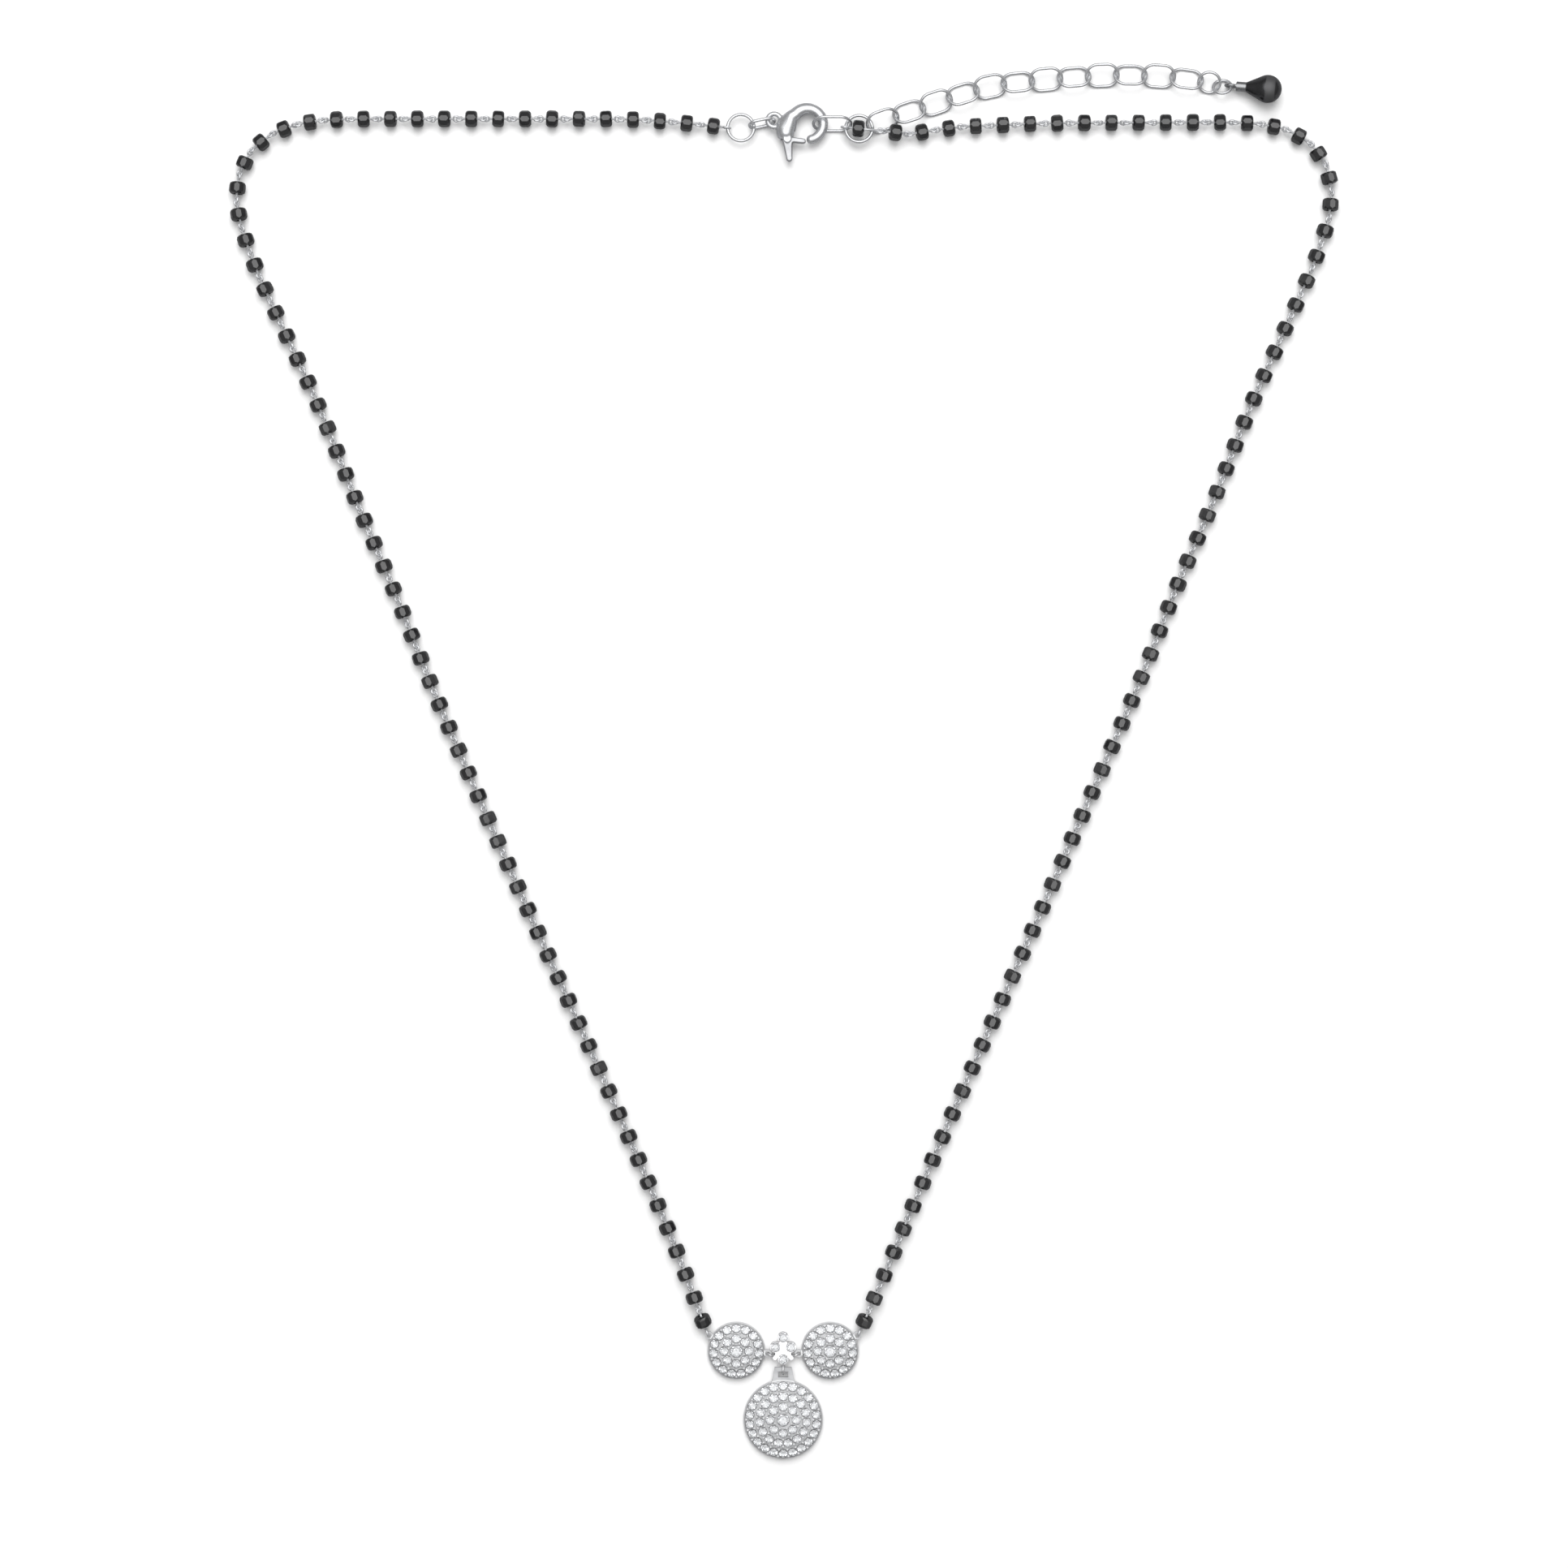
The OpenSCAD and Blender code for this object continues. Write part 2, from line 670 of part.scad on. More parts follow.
// The drop rests on its belly, with its loop upright and just clear of the plane
module end_drop() {
  r = drop_d / 2;
  collar_r = drop_collar_d / 2;
  belly = drop_len - r;
  loop_z = drop_loop_r + drop_loop_wire_d / 2 + drop_loop_lift;
  tilt = asin((r - loop_z) / (drop_loop_r + belly));
  touch = 90 + asin((r - collar_r) / (belly - drop_collar_len));
  color("#4b4d51")
    translate([drop_loop_centre[0], drop_loop_centre[1], loop_z])
      rotate([0, 90 - tilt, drop_angle])
        union() {
          rotate([90, 0, 0])
            ring(drop_loop_r, drop_loop_wire_d);
          translate([0, 0, drop_loop_r])
            rotate_extrude() {
              polygon([
                [0, 0], [collar_r, 0], [collar_r, drop_collar_len],
                [r * sin(touch), belly + r * cos(touch)], [0, belly]
              ]);
              intersection() {
                translate([0, belly])
                  circle(r);
                square([r, 2 * drop_len]);
              }
            }
        }
}

// Clasp, in its own frame: origin in the middle of the tail ring, hook towards +X
module place_clasp() {
  translate([clasp_tail[0], clasp_tail[1], clasp_z])
    children();
}

// A ball of the claw's casting
module claw_ball(centre, r) {
  translate([centre[0], centre[1], 0])
    sphere(r = r, $fn = claw_sides);
}

// Middle and radius of the hook's stock at a share of its way from the shoulder to the tip
function hook_point(share) =
  let (angle = hook_root_angle + (hook_tip_angle - hook_root_angle) * share)
  hook_centre + hook_r * [cos(angle), sin(angle)];
function hook_stock_r(share) =
  hook_stock_d / 2 * lookup(share, [[0, hook_root_swell], [hook_swell_end, 1], [1, hook_tip_taper]]);

// The cast claw: a body between tail, bulb and shoulder, and the hook in short stretches
module claw() {
  hull() {
    claw_ball([tail_r, 0], tail_neck_r);
    claw_ball(bulb_centre, bulb_d / 2);
    claw_ball(shoulder_centre, shoulder_r);
  }
  for (i = [0 : hook_steps - 1])
    hull() {
      claw_ball(hook_point(i / hook_steps), hook_stock_r(i / hook_steps));
      claw_ball(hook_point((i + 1) / hook_steps), hook_stock_r((i + 1) / hook_steps));
    }
  rotate_extrude($fn = tail_ring_steps)
    translate([tail_r, 0])
      circle(d = tail_stock_d, $fn = wire_sides);
}

module clasp_body() {
  slot_t = lever_t + 2 * lever_gap;
  slot_r = (lever_boss_r + lever_gap) / cos(180 / claw_sides);
  slot_side = slot_r - edge_inset;
  color("#b4b8be")
    place_clasp()
      difference() {
        claw();
        translate([pivot[0], pivot[1], -slot_t / 2])
          linear_extrude(slot_t) {
            circle(slot_r, $fn = claw_sides);
            polygon([
              [0, slot_side], [-slot_side, 0], [-slot_side, -slot_reach], [slot_reach, -slot_reach],
              [slot_reach, slot_reach * slot_rise_share]
            ]);
          }
        translate([pivot[0], pivot[1], -pin_len / 2 - pin_end_gap])
          cylinder(r = pin_d / 2 + pin_seat_gap, h = pin_len + 2 * pin_end_gap);
      }
}

module clasp_pin() {
  color("#b4b8be")
    place_clasp()
      translate([pivot[0], pivot[1], -pin_len / 2])
        cylinder(d = pin_d, h = pin_len);
}

module clasp_lever() {
  arm_end = lever_reach * [cos(lever_rest_angle), sin(lever_rest_angle)];
  foot = lever_boss_r - edge_inset;
  tab = thumb_r - edge_inset;
  color("#a9adb3")
    place_clasp()
      translate([pivot[0], pivot[1], -lever_t / 2])
        difference() {
          union() {
            cylinder(r = lever_boss_r, h = lever_t);
            translate([arm_end[0], arm_end[1], 0])
              cylinder(d = lever_w, h = lever_t);
            rotate([0, 0, lever_rest_angle])
              translate([0, edge_inset - lever_w / 2, 0])
                cube([lever_reach, lever_w - 2 * edge_inset, lever_t]);
            linear_extrude(lever_t)
              polygon([[-foot, 0], [foot, 0], thumb_tip + [tab, 0], thumb_tip - [tab, 0]]);
            translate([thumb_tip[0], thumb_tip[1], 0])
              cylinder(r = thumb_r, h = lever_t);
          }
          translate([0, 0, -lever_t])
            cylinder(r = pin_d / 2 + pin_gap, h = 3 * lever_t);
        }
}

bead_string(left_joints);  // bead_string_left
bead_string(right_joints);  // bead_string_right
string_wire(left_joints, left_start_gap);  // string_wire_left
string_wire(right_joints, right_start_gap);  // string_wire_right
main_disc();
main_disc_stones();
small_disc(left_disc_centre, 1);  // left_disc
small_disc_stones(left_disc_centre);  // left_disc_stones
small_disc(right_disc_centre, -1);  // right_disc
small_disc_stones(right_disc_centre);  // right_disc_stones
cluster_setting();
cluster_stones();
clasp_ring();
clasp_link();
clasp_body();
clasp_pin();
clasp_lever();
hook_link();
end_ring();
extender_link(0);  // extender_link_01
extender_link(1);  // extender_link_02
extender_link(2);  // extender_link_03
extender_link(3);  // extender_link_04
extender_link(4);  // extender_link_05
extender_link(5);  // extender_link_06
extender_link(6);  // extender_link_07
extender_link(7);  // extender_link_08
extender_link(8);  // extender_link_09
extender_link(9);  // extender_link_10
extender_link(10);  // extender_link_11
extender_link(11);  // extender_link_12
extender_end_link();
drop_ring();
end_drop();
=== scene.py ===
# The dressed mangalsutra: two strings of cut black beads, a stone set pendant, a clasp and an extender chain.
import json
import math
import random

import bmesh
import bpy
import numpy
from mathutils import Matrix, Vector


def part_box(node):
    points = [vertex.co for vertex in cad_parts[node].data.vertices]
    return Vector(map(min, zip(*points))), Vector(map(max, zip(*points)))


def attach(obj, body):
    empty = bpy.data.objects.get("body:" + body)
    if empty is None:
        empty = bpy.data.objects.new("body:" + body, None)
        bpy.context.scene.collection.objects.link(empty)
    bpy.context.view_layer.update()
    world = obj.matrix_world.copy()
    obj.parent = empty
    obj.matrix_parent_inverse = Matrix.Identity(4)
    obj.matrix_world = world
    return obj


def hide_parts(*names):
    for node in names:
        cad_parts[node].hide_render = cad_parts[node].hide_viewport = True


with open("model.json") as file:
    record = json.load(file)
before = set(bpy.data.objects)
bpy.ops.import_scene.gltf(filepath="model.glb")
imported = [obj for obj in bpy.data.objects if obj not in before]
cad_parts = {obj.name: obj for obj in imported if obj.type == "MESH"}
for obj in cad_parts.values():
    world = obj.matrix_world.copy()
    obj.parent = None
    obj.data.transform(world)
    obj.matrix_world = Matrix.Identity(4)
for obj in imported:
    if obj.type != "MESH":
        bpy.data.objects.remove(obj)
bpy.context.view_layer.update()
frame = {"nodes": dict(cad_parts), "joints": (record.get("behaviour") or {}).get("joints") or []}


# The card, the lights and the camera
# The necklace lies on plain white card and is seen from straight above. A broad softbox hangs over it, and a
# lamp beyond the clasp, which no piece mirrors, drops a pale shadow on the pendant's side of each piece. Low
# down the room is dark, and the card is mirrored darker than it is, so the metal has thin grey outlines.
CARD_SIZE = 3.0
CARD_WHITE = (0.93, 0.93, 0.93, 1)
CARD_MIRRORED = (0.30, 0.30, 0.305, 1)
CARD_ROUGHNESS = 0.9
PHOTO_WIDTH = 0.1859
PHOTO_MIDDLE = Vector((0.0001, -0.0027, 0))
LENS_MM = 100
SENSOR_MM = 36
NEAREST_SEEN = 0.01
# The softbox is full up to one angle from its middle and fades out towards the other
SOFTBOX_LEAN = math.radians(12)
SOFTBOX_FULL = math.radians(22)
SOFTBOX_END = math.radians(50)
SOFTBOX_BRIGHT = 1.35
# Height in the room, from 0 at the card's level to 1 straight overhead, and brightness there
SKY_STEPS = ((0.0, 0.10), (0.15, 0.18), (0.45, 0.25), (1.0, 0.28))
LAMP_SIZE = 0.7
LAMP_DISTANCE = 0.85
LAMP_LEAN = math.radians(38)
LAMP_POWER = 5.0

card_mesh = bmesh.new()
bmesh.ops.create_grid(card_mesh, x_segments=1, y_segments=1, size=CARD_SIZE / 2)
card_data = bpy.data.meshes.new("card")
card_mesh.to_mesh(card_data)
card_mesh.free()
card = bpy.data.objects.new("card", card_data)
bpy.context.scene.collection.objects.link(card)
card_white = bpy.data.materials.new("white_card")
card_white.use_nodes = True
card_shader = card_white.node_tree.nodes["Principled BSDF"]
card_shader.inputs["Roughness"].default_value = CARD_ROUGHNESS
card_shader.inputs["Specular IOR Level"].default_value = 0.0
card_ray = card_white.node_tree.nodes.new("ShaderNodeLightPath")
card_tone = card_white.node_tree.nodes.new("ShaderNodeMix")
card_tone.data_type = "RGBA"
card_tone.inputs["A"].default_value = CARD_WHITE
card_tone.inputs["B"].default_value = CARD_MIRRORED
card_white.node_tree.links.new(card_ray.outputs["Is Glossy Ray"], card_tone.inputs["Factor"])
card_white.node_tree.links.new(card_tone.outputs["Result"], card_shader.inputs["Base Color"])
card_data.materials.append(card_white)

world = bpy.data.worlds.new("room")
world.use_nodes = True
bpy.context.scene.world = world
room = world.node_tree
direction = room.nodes.new("ShaderNodeTexCoord")
height = room.nodes.new("ShaderNodeSeparateXYZ")
sky = room.nodes.new("ShaderNodeValToRGB")
while len(sky.color_ramp.elements) < len(SKY_STEPS):
    sky.color_ramp.elements.new(1.0)
for element, (place, bright) in zip(sky.color_ramp.elements, SKY_STEPS):
    element.position = place
    element.color = (bright, bright, bright, 1)
nearness = room.nodes.new("ShaderNodeVectorMath")
nearness.operation = "DOT_PRODUCT"
nearness.inputs[1].default_value = (0, math.sin(SOFTBOX_LEAN), math.cos(SOFTBOX_LEAN))
softbox = room.nodes.new("ShaderNodeMapRange")
softbox.interpolation_type = "SMOOTHSTEP"
softbox.inputs["From Min"].default_value = math.cos(SOFTBOX_END)
softbox.inputs["From Max"].default_value = math.cos(SOFTBOX_FULL)
softbox.inputs["To Max"].default_value = SOFTBOX_BRIGHT
room_light = room.nodes.new("ShaderNodeMath")
room_light.operation = "ADD"
room.links.new(direction.outputs["Generated"], height.inputs["Vector"])
room.links.new(height.outputs["Z"], sky.inputs["Fac"])
room.links.new(direction.outputs["Generated"], nearness.inputs[0])
room.links.new(nearness.outputs["Value"], softbox.inputs["Value"])
room.links.new(sky.outputs["Color"], room_light.inputs[0])
room.links.new(softbox.outputs["Result"], room_light.inputs[1])
room.links.new(room_light.outputs["Value"], room.nodes["Background"].inputs["Color"])

lamp_data = bpy.data.lights.new("soft_lamp", "AREA")
lamp_data.shape = "DISK"
lamp_data.size = LAMP_SIZE
lamp_data.energy = LAMP_POWER
lamp = bpy.data.objects.new("soft_lamp", lamp_data)
bpy.context.scene.collection.objects.link(lamp)
lamp.location = PHOTO_MIDDLE + LAMP_DISTANCE * Vector((0, math.sin(LAMP_LEAN), math.cos(LAMP_LEAN)))
lamp.rotation_euler = (-LAMP_LEAN, 0, 0)
lamp.visible_glossy = False

camera_data = bpy.data.cameras.new("camera")
camera_data.lens = LENS_MM
camera_data.sensor_width = SENSOR_MM
camera_data.clip_start = NEAREST_SEEN
camera = bpy.data.objects.new("camera", camera_data)
bpy.context.scene.collection.objects.link(camera)
camera.location = PHOTO_MIDDLE + Vector((0, 0, PHOTO_WIDTH * LENS_MM / SENSOR_MM))
bpy.context.scene.camera = camera
bpy.context.scene.view_settings.view_transform = "Standard"


# Black beads
# Rondelles of black glass, each drilled through and ground with a band of flat facets and, on either side of
# it, two rows of three-cornered ones. No two lie turned alike on the wire.
MM = 0.001
WELD = 0.002 * MM
FLAT_WITHIN = math.radians(1)
BEAD_FACETS = 10
# Share of the bead's half length, share of its radius, and turn in facets, ring after ring
BEAD_RINGS = ((1.0, 0.35, 0.0), (1.0, 0.73, 0.0), (0.82, 0.93, 0.5), (0.48, 1.0, 0.0))
BEAD_SPIN = math.radians(11)
BEAD_WOBBLE = math.radians(3.5)
BEAD_SIZES = (0.965, 0.995)
DRAW_SEED = 7
GLASS_BLACK = (0.005, 0.005, 0.006, 1)
GLASS_CLOUDED = (0.012, 0.012, 0.013, 1)
# A finish is the roughness where clean, what is added to it where filmed, and the depth of the scratches
GLASS_FINISH = (0.06, 0.10, 0.001 * MM)
GLASS_IOR = 1.95
FILM_SIZE = 900.0
FILM_DETAIL = 4
FILM_RANGE = (0.42, 0.72)
SCRATCH_SIZE = 9000.0
SCRATCH_DETAIL = 2
SCRATCH_TURN = (0.4, 0.3, 0.7)
SCRATCH_STRETCH = (1.0, 0.09, 0.4)
SCRATCH_STRENGTH = 0.5


def joined_faces(first, seen):
    """A face and all that are joined to it, which are added to the seen ones."""
    seen.add(first)
    front = [first]
    faces = []
    while front:
        face = front.pop()
        faces.append(face)
        for edge in face.edges:
            for other in edge.link_faces:
                if other not in seen:
                    seen.add(other)
                    front.append(other)
    return faces


def solids_of(node):
    """Each separate solid of a CAD node: its corners, middle and three axes, the longest first."""
    mesh = bmesh.new()
    mesh.from_mesh(frame["nodes"][node].data)
    bmesh.ops.remove_doubles(mesh, verts=mesh.verts, dist=WELD)
    found = []
    seen = set()
    for first in mesh.faces:
        if first in seen:
            continue
        faces = joined_faces(first, seen)
        areas = numpy.array([face.calc_area() for face in faces])
        places = numpy.array([face.calc_center_median() for face in faces])
        middle = (places * areas[:, None]).sum(0) / areas.sum()
        away = places - middle
        spread = numpy.linalg.eigh((away * areas[:, None]).T @ away)[1]
        corners = [vert.co.copy() for vert in {vert: None for face in faces for vert in face.verts}]
        found.append((corners, Vector(middle), [Vector(spread[:, k]) for k in (2, 1, 0)]))
    mesh.free()
    return found


def reach(corners, middle, axis):
    """How far a solid reaches from its middle along an axis."""
    return max(abs((corner - middle).dot(axis)) for corner in corners)


def shape_from(mesh, name):
    """The mesh as finished shape data, with its faces turned outwards."""
    bmesh.ops.recalc_face_normals(mesh, faces=mesh.faces)
    shape = bpy.data.meshes.new(name)
    mesh.to_mesh(shape)
    mesh.free()
    return shape


def piece_from(shape, name, material, smooth):
    """A new object at the origin that shows the shape."""
    shape.polygons.foreach_set("use_smooth", [smooth] * len(shape.polygons))
    shape.materials.clear()
    shape.materials.append(material)
    piece = bpy.data.objects.new(name, shape)
    bpy.context.scene.collection.objects.link(piece)
    return piece


def add_copy(mesh, shape, place):
    """Adds a placed copy of a finished shape to a mesh."""
    copy = shape.copy()
    copy.transform(place)
    mesh.from_mesh(copy)
    bpy.data.meshes.remove(copy)


def frame_along(middle, along, turn):
    """A place whose X axis runs along a direction, turned about it."""
    along = along.normalized()
    side = Vector((0, 0, 1)).cross(along).normalized()
    turned = Matrix((along, side, along.cross(side))).transposed()
    return Matrix.Translation(middle) @ turned.to_4x4() @ Matrix.Rotation(turn, 4, "X")


def bead_line(node, start_node):
    """Middle and direction of every bead of a string, from the clasp to the pendant."""
    left = solids_of(node)
    low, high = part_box(start_node)
    here = (low + high) / 2
    row = []
    while left:
        nearest = min(left, key=lambda solid: (solid[1] - here).length)
        left.remove(nearest)
        here = nearest[1]
        row.append(nearest)
    middles = [middle for corners, middle, axes in row]
    line = []
    for k, (corners, middle, axes) in enumerate(row):
        ahead = middles[min(k + 1, len(row) - 1)] - middles[max(k - 1, 0)]
        line.append((middle, axes[2] if axes[2].dot(ahead) > 0 else -axes[2]))
    return line


def cut_bead(half_length, radius):
    """One bead about the origin, with its hole along X."""
    mesh = bmesh.new()
    rings = list(BEAD_RINGS) + [(-x, r, turn) for x, r, turn in reversed(BEAD_RINGS)]
    edges = []
    for x, r, turn in rings:
        ring = bmesh.ops.create_circle(mesh, segments=BEAD_FACETS, radius=r * radius)["verts"]
        place = Matrix.Translation((x * half_length, 0, 0)) @ Matrix.Rotation(math.pi / 2, 4, "Y")
        spin = Matrix.Rotation(turn * math.tau / BEAD_FACETS, 4, "Z")
        bmesh.ops.transform(mesh, matrix=place @ spin, verts=ring)
        edges.append(list({edge: None for vert in ring for edge in vert.link_edges}))
    for k in range(len(edges)):
        bmesh.ops.bridge_loops(mesh, edges=edges[k] + edges[(k + 1) % len(edges)])
    bmesh.ops.triangulate(mesh, faces=mesh.faces, quad_method="SHORT_EDGE")
    bmesh.ops.dissolve_limit(mesh, angle_limit=FLAT_WITHIN, verts=mesh.verts, edges=mesh.edges)
    return shape_from(mesh, "cut_bead")


def handled_surface():
    """The node group for polish that has been handled: fine scratches, cloudy film and uneven gloss."""
    group = bpy.data.node_groups.new("handled_surface", "ShaderNodeTree")
    for name in ("Gloss", "Unevenness", "Film size", "Scratch size"):
        group.interface.new_socket(name=name, in_out="INPUT", socket_type="NodeSocketFloat")
    for name in ("Roughness", "Film", "Height"):
        group.interface.new_socket(name=name, in_out="OUTPUT", socket_type="NodeSocketFloat")
    add = group.nodes.new
    join = group.links.new
    given = add("NodeGroupInput")
    result = add("NodeGroupOutput")
    place = add("ShaderNodeTexCoord")
    cloud = add("ShaderNodeTexNoise")
    cloud.inputs["Detail"].default_value = FILM_DETAIL
    stretch = add("ShaderNodeMapping")
    stretch.inputs["Rotation"].default_value = SCRATCH_TURN
    stretch.inputs["Scale"].default_value = SCRATCH_STRETCH
    scratch = add("ShaderNodeTexNoise")
    scratch.inputs["Detail"].default_value = SCRATCH_DETAIL
    film = add("ShaderNodeMapRange")
    film.inputs["From Min"].default_value = FILM_RANGE[0]
    film.inputs["From Max"].default_value = FILM_RANGE[1]
    uneven = add("ShaderNodeMath")
    uneven.operation = "MULTIPLY_ADD"
    join(place.outputs["Object"], cloud.inputs["Vector"])
    join(given.outputs["Film size"], cloud.inputs["Scale"])
    join(place.outputs["Object"], stretch.inputs["Vector"])
    join(stretch.outputs["Vector"], scratch.inputs["Vector"])
    join(given.outputs["Scratch size"], scratch.inputs["Scale"])
    join(cloud.outputs["Fac"], film.inputs["Value"])
    join(film.outputs["Result"], uneven.inputs[0])
    join(given.outputs["Unevenness"], uneven.inputs[1])
    join(given.outputs["Gloss"], uneven.inputs[2])
    join(uneven.outputs["Value"], result.inputs["Roughness"])
    join(film.outputs["Result"], result.inputs["Film"])
    join(scratch.outputs["Fac"], result.inputs["Height"])
    return group


HANDLED = handled_surface()


def handled_material(name, clean, filmed, finish, metallic):
    """A material with the handled surface, its colour where clean and where filmed, and its finish."""
    material = bpy.data.materials.new(name)
    material.use_nodes = True
    nodes = material.node_tree.nodes
    join = material.node_tree.links.new
    gloss, unevenness, scratch_depth = finish
    shader = nodes["Principled BSDF"]
    shader.inputs["Metallic"].default_value = metallic
    handled = nodes.new("ShaderNodeGroup")
    handled.name = "handled"
    handled.node_tree = HANDLED
    handled.inputs["Gloss"].default_value = gloss
    handled.inputs["Unevenness"].default_value = unevenness
    handled.inputs["Film size"].default_value = FILM_SIZE
    handled.inputs["Scratch size"].default_value = SCRATCH_SIZE
    colour = nodes.new("ShaderNodeMix")
    colour.name = "colour"
    colour.data_type = "RGBA"
    colour.inputs["A"].default_value = clean
    colour.inputs["B"].default_value = filmed
    bump = nodes.new("ShaderNodeBump")
    bump.inputs["Strength"].default_value = SCRATCH_STRENGTH
    bump.inputs["Distance"].default_value = scratch_depth
    join(handled.outputs["Film"], colour.inputs["Factor"])
    join(colour.outputs["Result"], shader.inputs["Base Color"])
    join(handled.outputs["Roughness"], shader.inputs["Roughness"])
    join(handled.outputs["Height"], bump.inputs["Height"])
    join(bump.outputs["Normal"], shader.inputs["Normal"])
    return material


black_glass = handled_material("black_glass", GLASS_BLACK, GLASS_CLOUDED, GLASS_FINISH, 0.0)
black_glass.node_tree.nodes["Principled BSDF"].inputs["IOR"].default_value = GLASS_IOR

draw = random.Random(DRAW_SEED)
left_line = bead_line("bead_string_left", "clasp_ring")
right_line = bead_line("bead_string_right", "end_ring")
bead_corners, bead_middle, bead_axes = solids_of("bead_string_left")[0]
one_bead = cut_bead(
    reach(bead_corners, bead_middle, bead_axes[2]), reach(bead_corners, bead_middle, bead_axes[0])
)


def string_of_beads(line, name):
    """All the beads of one string as one mesh."""
    mesh = bmesh.new()
    for middle, axis in line:
        spin = draw.uniform(-BEAD_SPIN, BEAD_SPIN)
        lean = Matrix.Rotation(draw.uniform(-BEAD_WOBBLE, BEAD_WOBBLE), 4, "Z")
        lean = lean @ Matrix.Rotation(draw.uniform(-BEAD_WOBBLE, BEAD_WOBBLE), 4, "Y")
        size = Matrix.Scale(draw.uniform(*BEAD_SIZES), 4)
        add_copy(mesh, one_bead, frame_along(middle, axis, spin) @ lean @ size)
    return piece_from(shape_from(mesh, name), name, black_glass, False)


left_beads = string_of_beads(left_line, "black_beads_left")
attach(left_beads, "necklace")
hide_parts("bead_string_left")
right_beads = string_of_beads(right_line, "black_beads_right")
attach(right_beads, "necklace")
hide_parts("bead_string_right")


# Wire pins
# A pin of rhodium plated wire goes through each bead and ends in an eye on both sides. Each eye is closed
# round the next pin's eye and stands across it.
PIN_WIRE_R = 0.13 * MM
EYE_R = 0.33 * MM
END_EYE_R = 0.42 * MM
EYE_STEPS = 12
PIN_SIDES = 6
EYE_ROLL = math.radians(45)
EYE_ROLL_SPREAD = math.radians(12)
UPRIGHT = math.radians(90)
RHODIUM = (0.83, 0.84, 0.86, 1)
RHODIUM_FILM = (0.70, 0.71, 0.73, 1)
PIN_FINISH = (0.24, 0.12, 0.002 * MM)
PIN_METALLIC = 0.6

pin_metal = handled_material("rhodium_pin_wire", RHODIUM, RHODIUM_FILM, PIN_FINISH, PIN_METALLIC)


def loop_shape(r, wire_r, steps, sides, straight=0.0, slit=0.0):
    """A ring of round wire flat about the origin, drawn out along X, closed or with a slit at its end."""
    mesh = bmesh.new()
    ring = bmesh.ops.create_circle(mesh, segments=sides, radius=wire_r)["verts"]
    start = Matrix.Rotation(slit / r / 2, 4, "Z") @ Matrix.Translation((r, 0, 0))
    bmesh.ops.transform(mesh, matrix=start @ Matrix.Rotation(math.pi / 2, 4, "X"), verts=ring)
    edges = list({edge: None for vert in ring for edge in vert.link_edges})
    end = bmesh.ops.spin(
        mesh, geom=ring + edges, cent=(0, 0, 0), axis=(0, 0, 1), angle=math.tau - slit / r, steps=steps,
        use_merge=slit == 0
    )["geom_last"]
    if slit:
        bmesh.ops.edgeloop_fill(mesh, edges=edges)
        bmesh.ops.edgeloop_fill(mesh, edges=[item for item in end if isinstance(item, bmesh.types.BMEdge)])
    for side in (-1, 1):
        half = [vert for vert in mesh.verts if vert.co.x * side > 0]
        bmesh.ops.translate(mesh, vec=(side * straight, 0, 0), verts=half)
    return shape_from(mesh, "loop")


small_eye = loop_shape(EYE_R, PIN_WIRE_R, EYE_STEPS, PIN_SIDES)
end_eye = loop_shape(END_EYE_R, PIN_WIRE_R, EYE_STEPS, PIN_SIDES)
shank_mesh = bmesh.new()
bmesh.ops.create_cone(
    shank_mesh, cap_ends=True, segments=PIN_SIDES, radius1=PIN_WIRE_R, radius2=PIN_WIRE_R, depth=1.0,
    matrix=Matrix.Translation((0.5, 0, 0)) @ Matrix.Rotation(math.pi / 2, 4, "Y")
)
shank = shape_from(shank_mesh, "shank")


def pin_joints(line, first_half):
    """The points where one pin is linked with the next, the outer ends included."""
    gaps = [(line[k + 1][0] - line[k][0]).length for k in range(len(line) - 1)]
    joints = [line[0][0] - line[0][1] * first_half]
    for k in range(len(line) - 1):
        half_next = min(gaps[k], gaps[min(k + 1, len(gaps) - 1)]) / 2
        from_next = line[k + 1][0] - line[k + 1][1] * half_next
        half_here = half_next if k else gaps[0] - half_next
        from_here = line[k][0] + line[k][1] * half_here
        joints.append((from_here + from_next) / 2)
    joints.append(line[-1][0] + line[-1][1] * gaps[-1] / 2)
    return joints


def string_of_pins(line, first_half, name):
    """All the pins of one string as one mesh."""
    mesh = bmesh.new()
    joints = pin_joints(line, first_half)
    last = len(joints) - 2
    inset = EYE_R - PIN_WIRE_R
    for k in range(len(joints) - 1):
        along = (joints[k + 1] - joints[k]).normalized()
        roll = EYE_ROLL * (1 if k % 2 else -1) + draw.uniform(-EYE_ROLL_SPREAD, EYE_ROLL_SPREAD)
        starts = (joints[k] + along * inset, small_eye, roll, EYE_R)
        ends = (joints[k + 1] - along * inset, small_eye, roll, EYE_R)
        if k == 0:
            starts = (joints[k], end_eye, UPRIGHT, END_EYE_R)
        if k == last:
            ends = (joints[k + 1], end_eye, UPRIGHT, END_EYE_R)
        for middle, eye, turn, r in (starts, ends):
            add_copy(mesh, eye, frame_along(middle, along, turn))
        start = starts[0] + along * starts[3]
        long = (ends[0] - along * ends[3] - start).length
        add_copy(mesh, shank, frame_along(start, along, roll) @ Matrix.Scale(long, 4, (1, 0, 0)))
    return piece_from(shape_from(mesh, name), name, pin_metal, True)


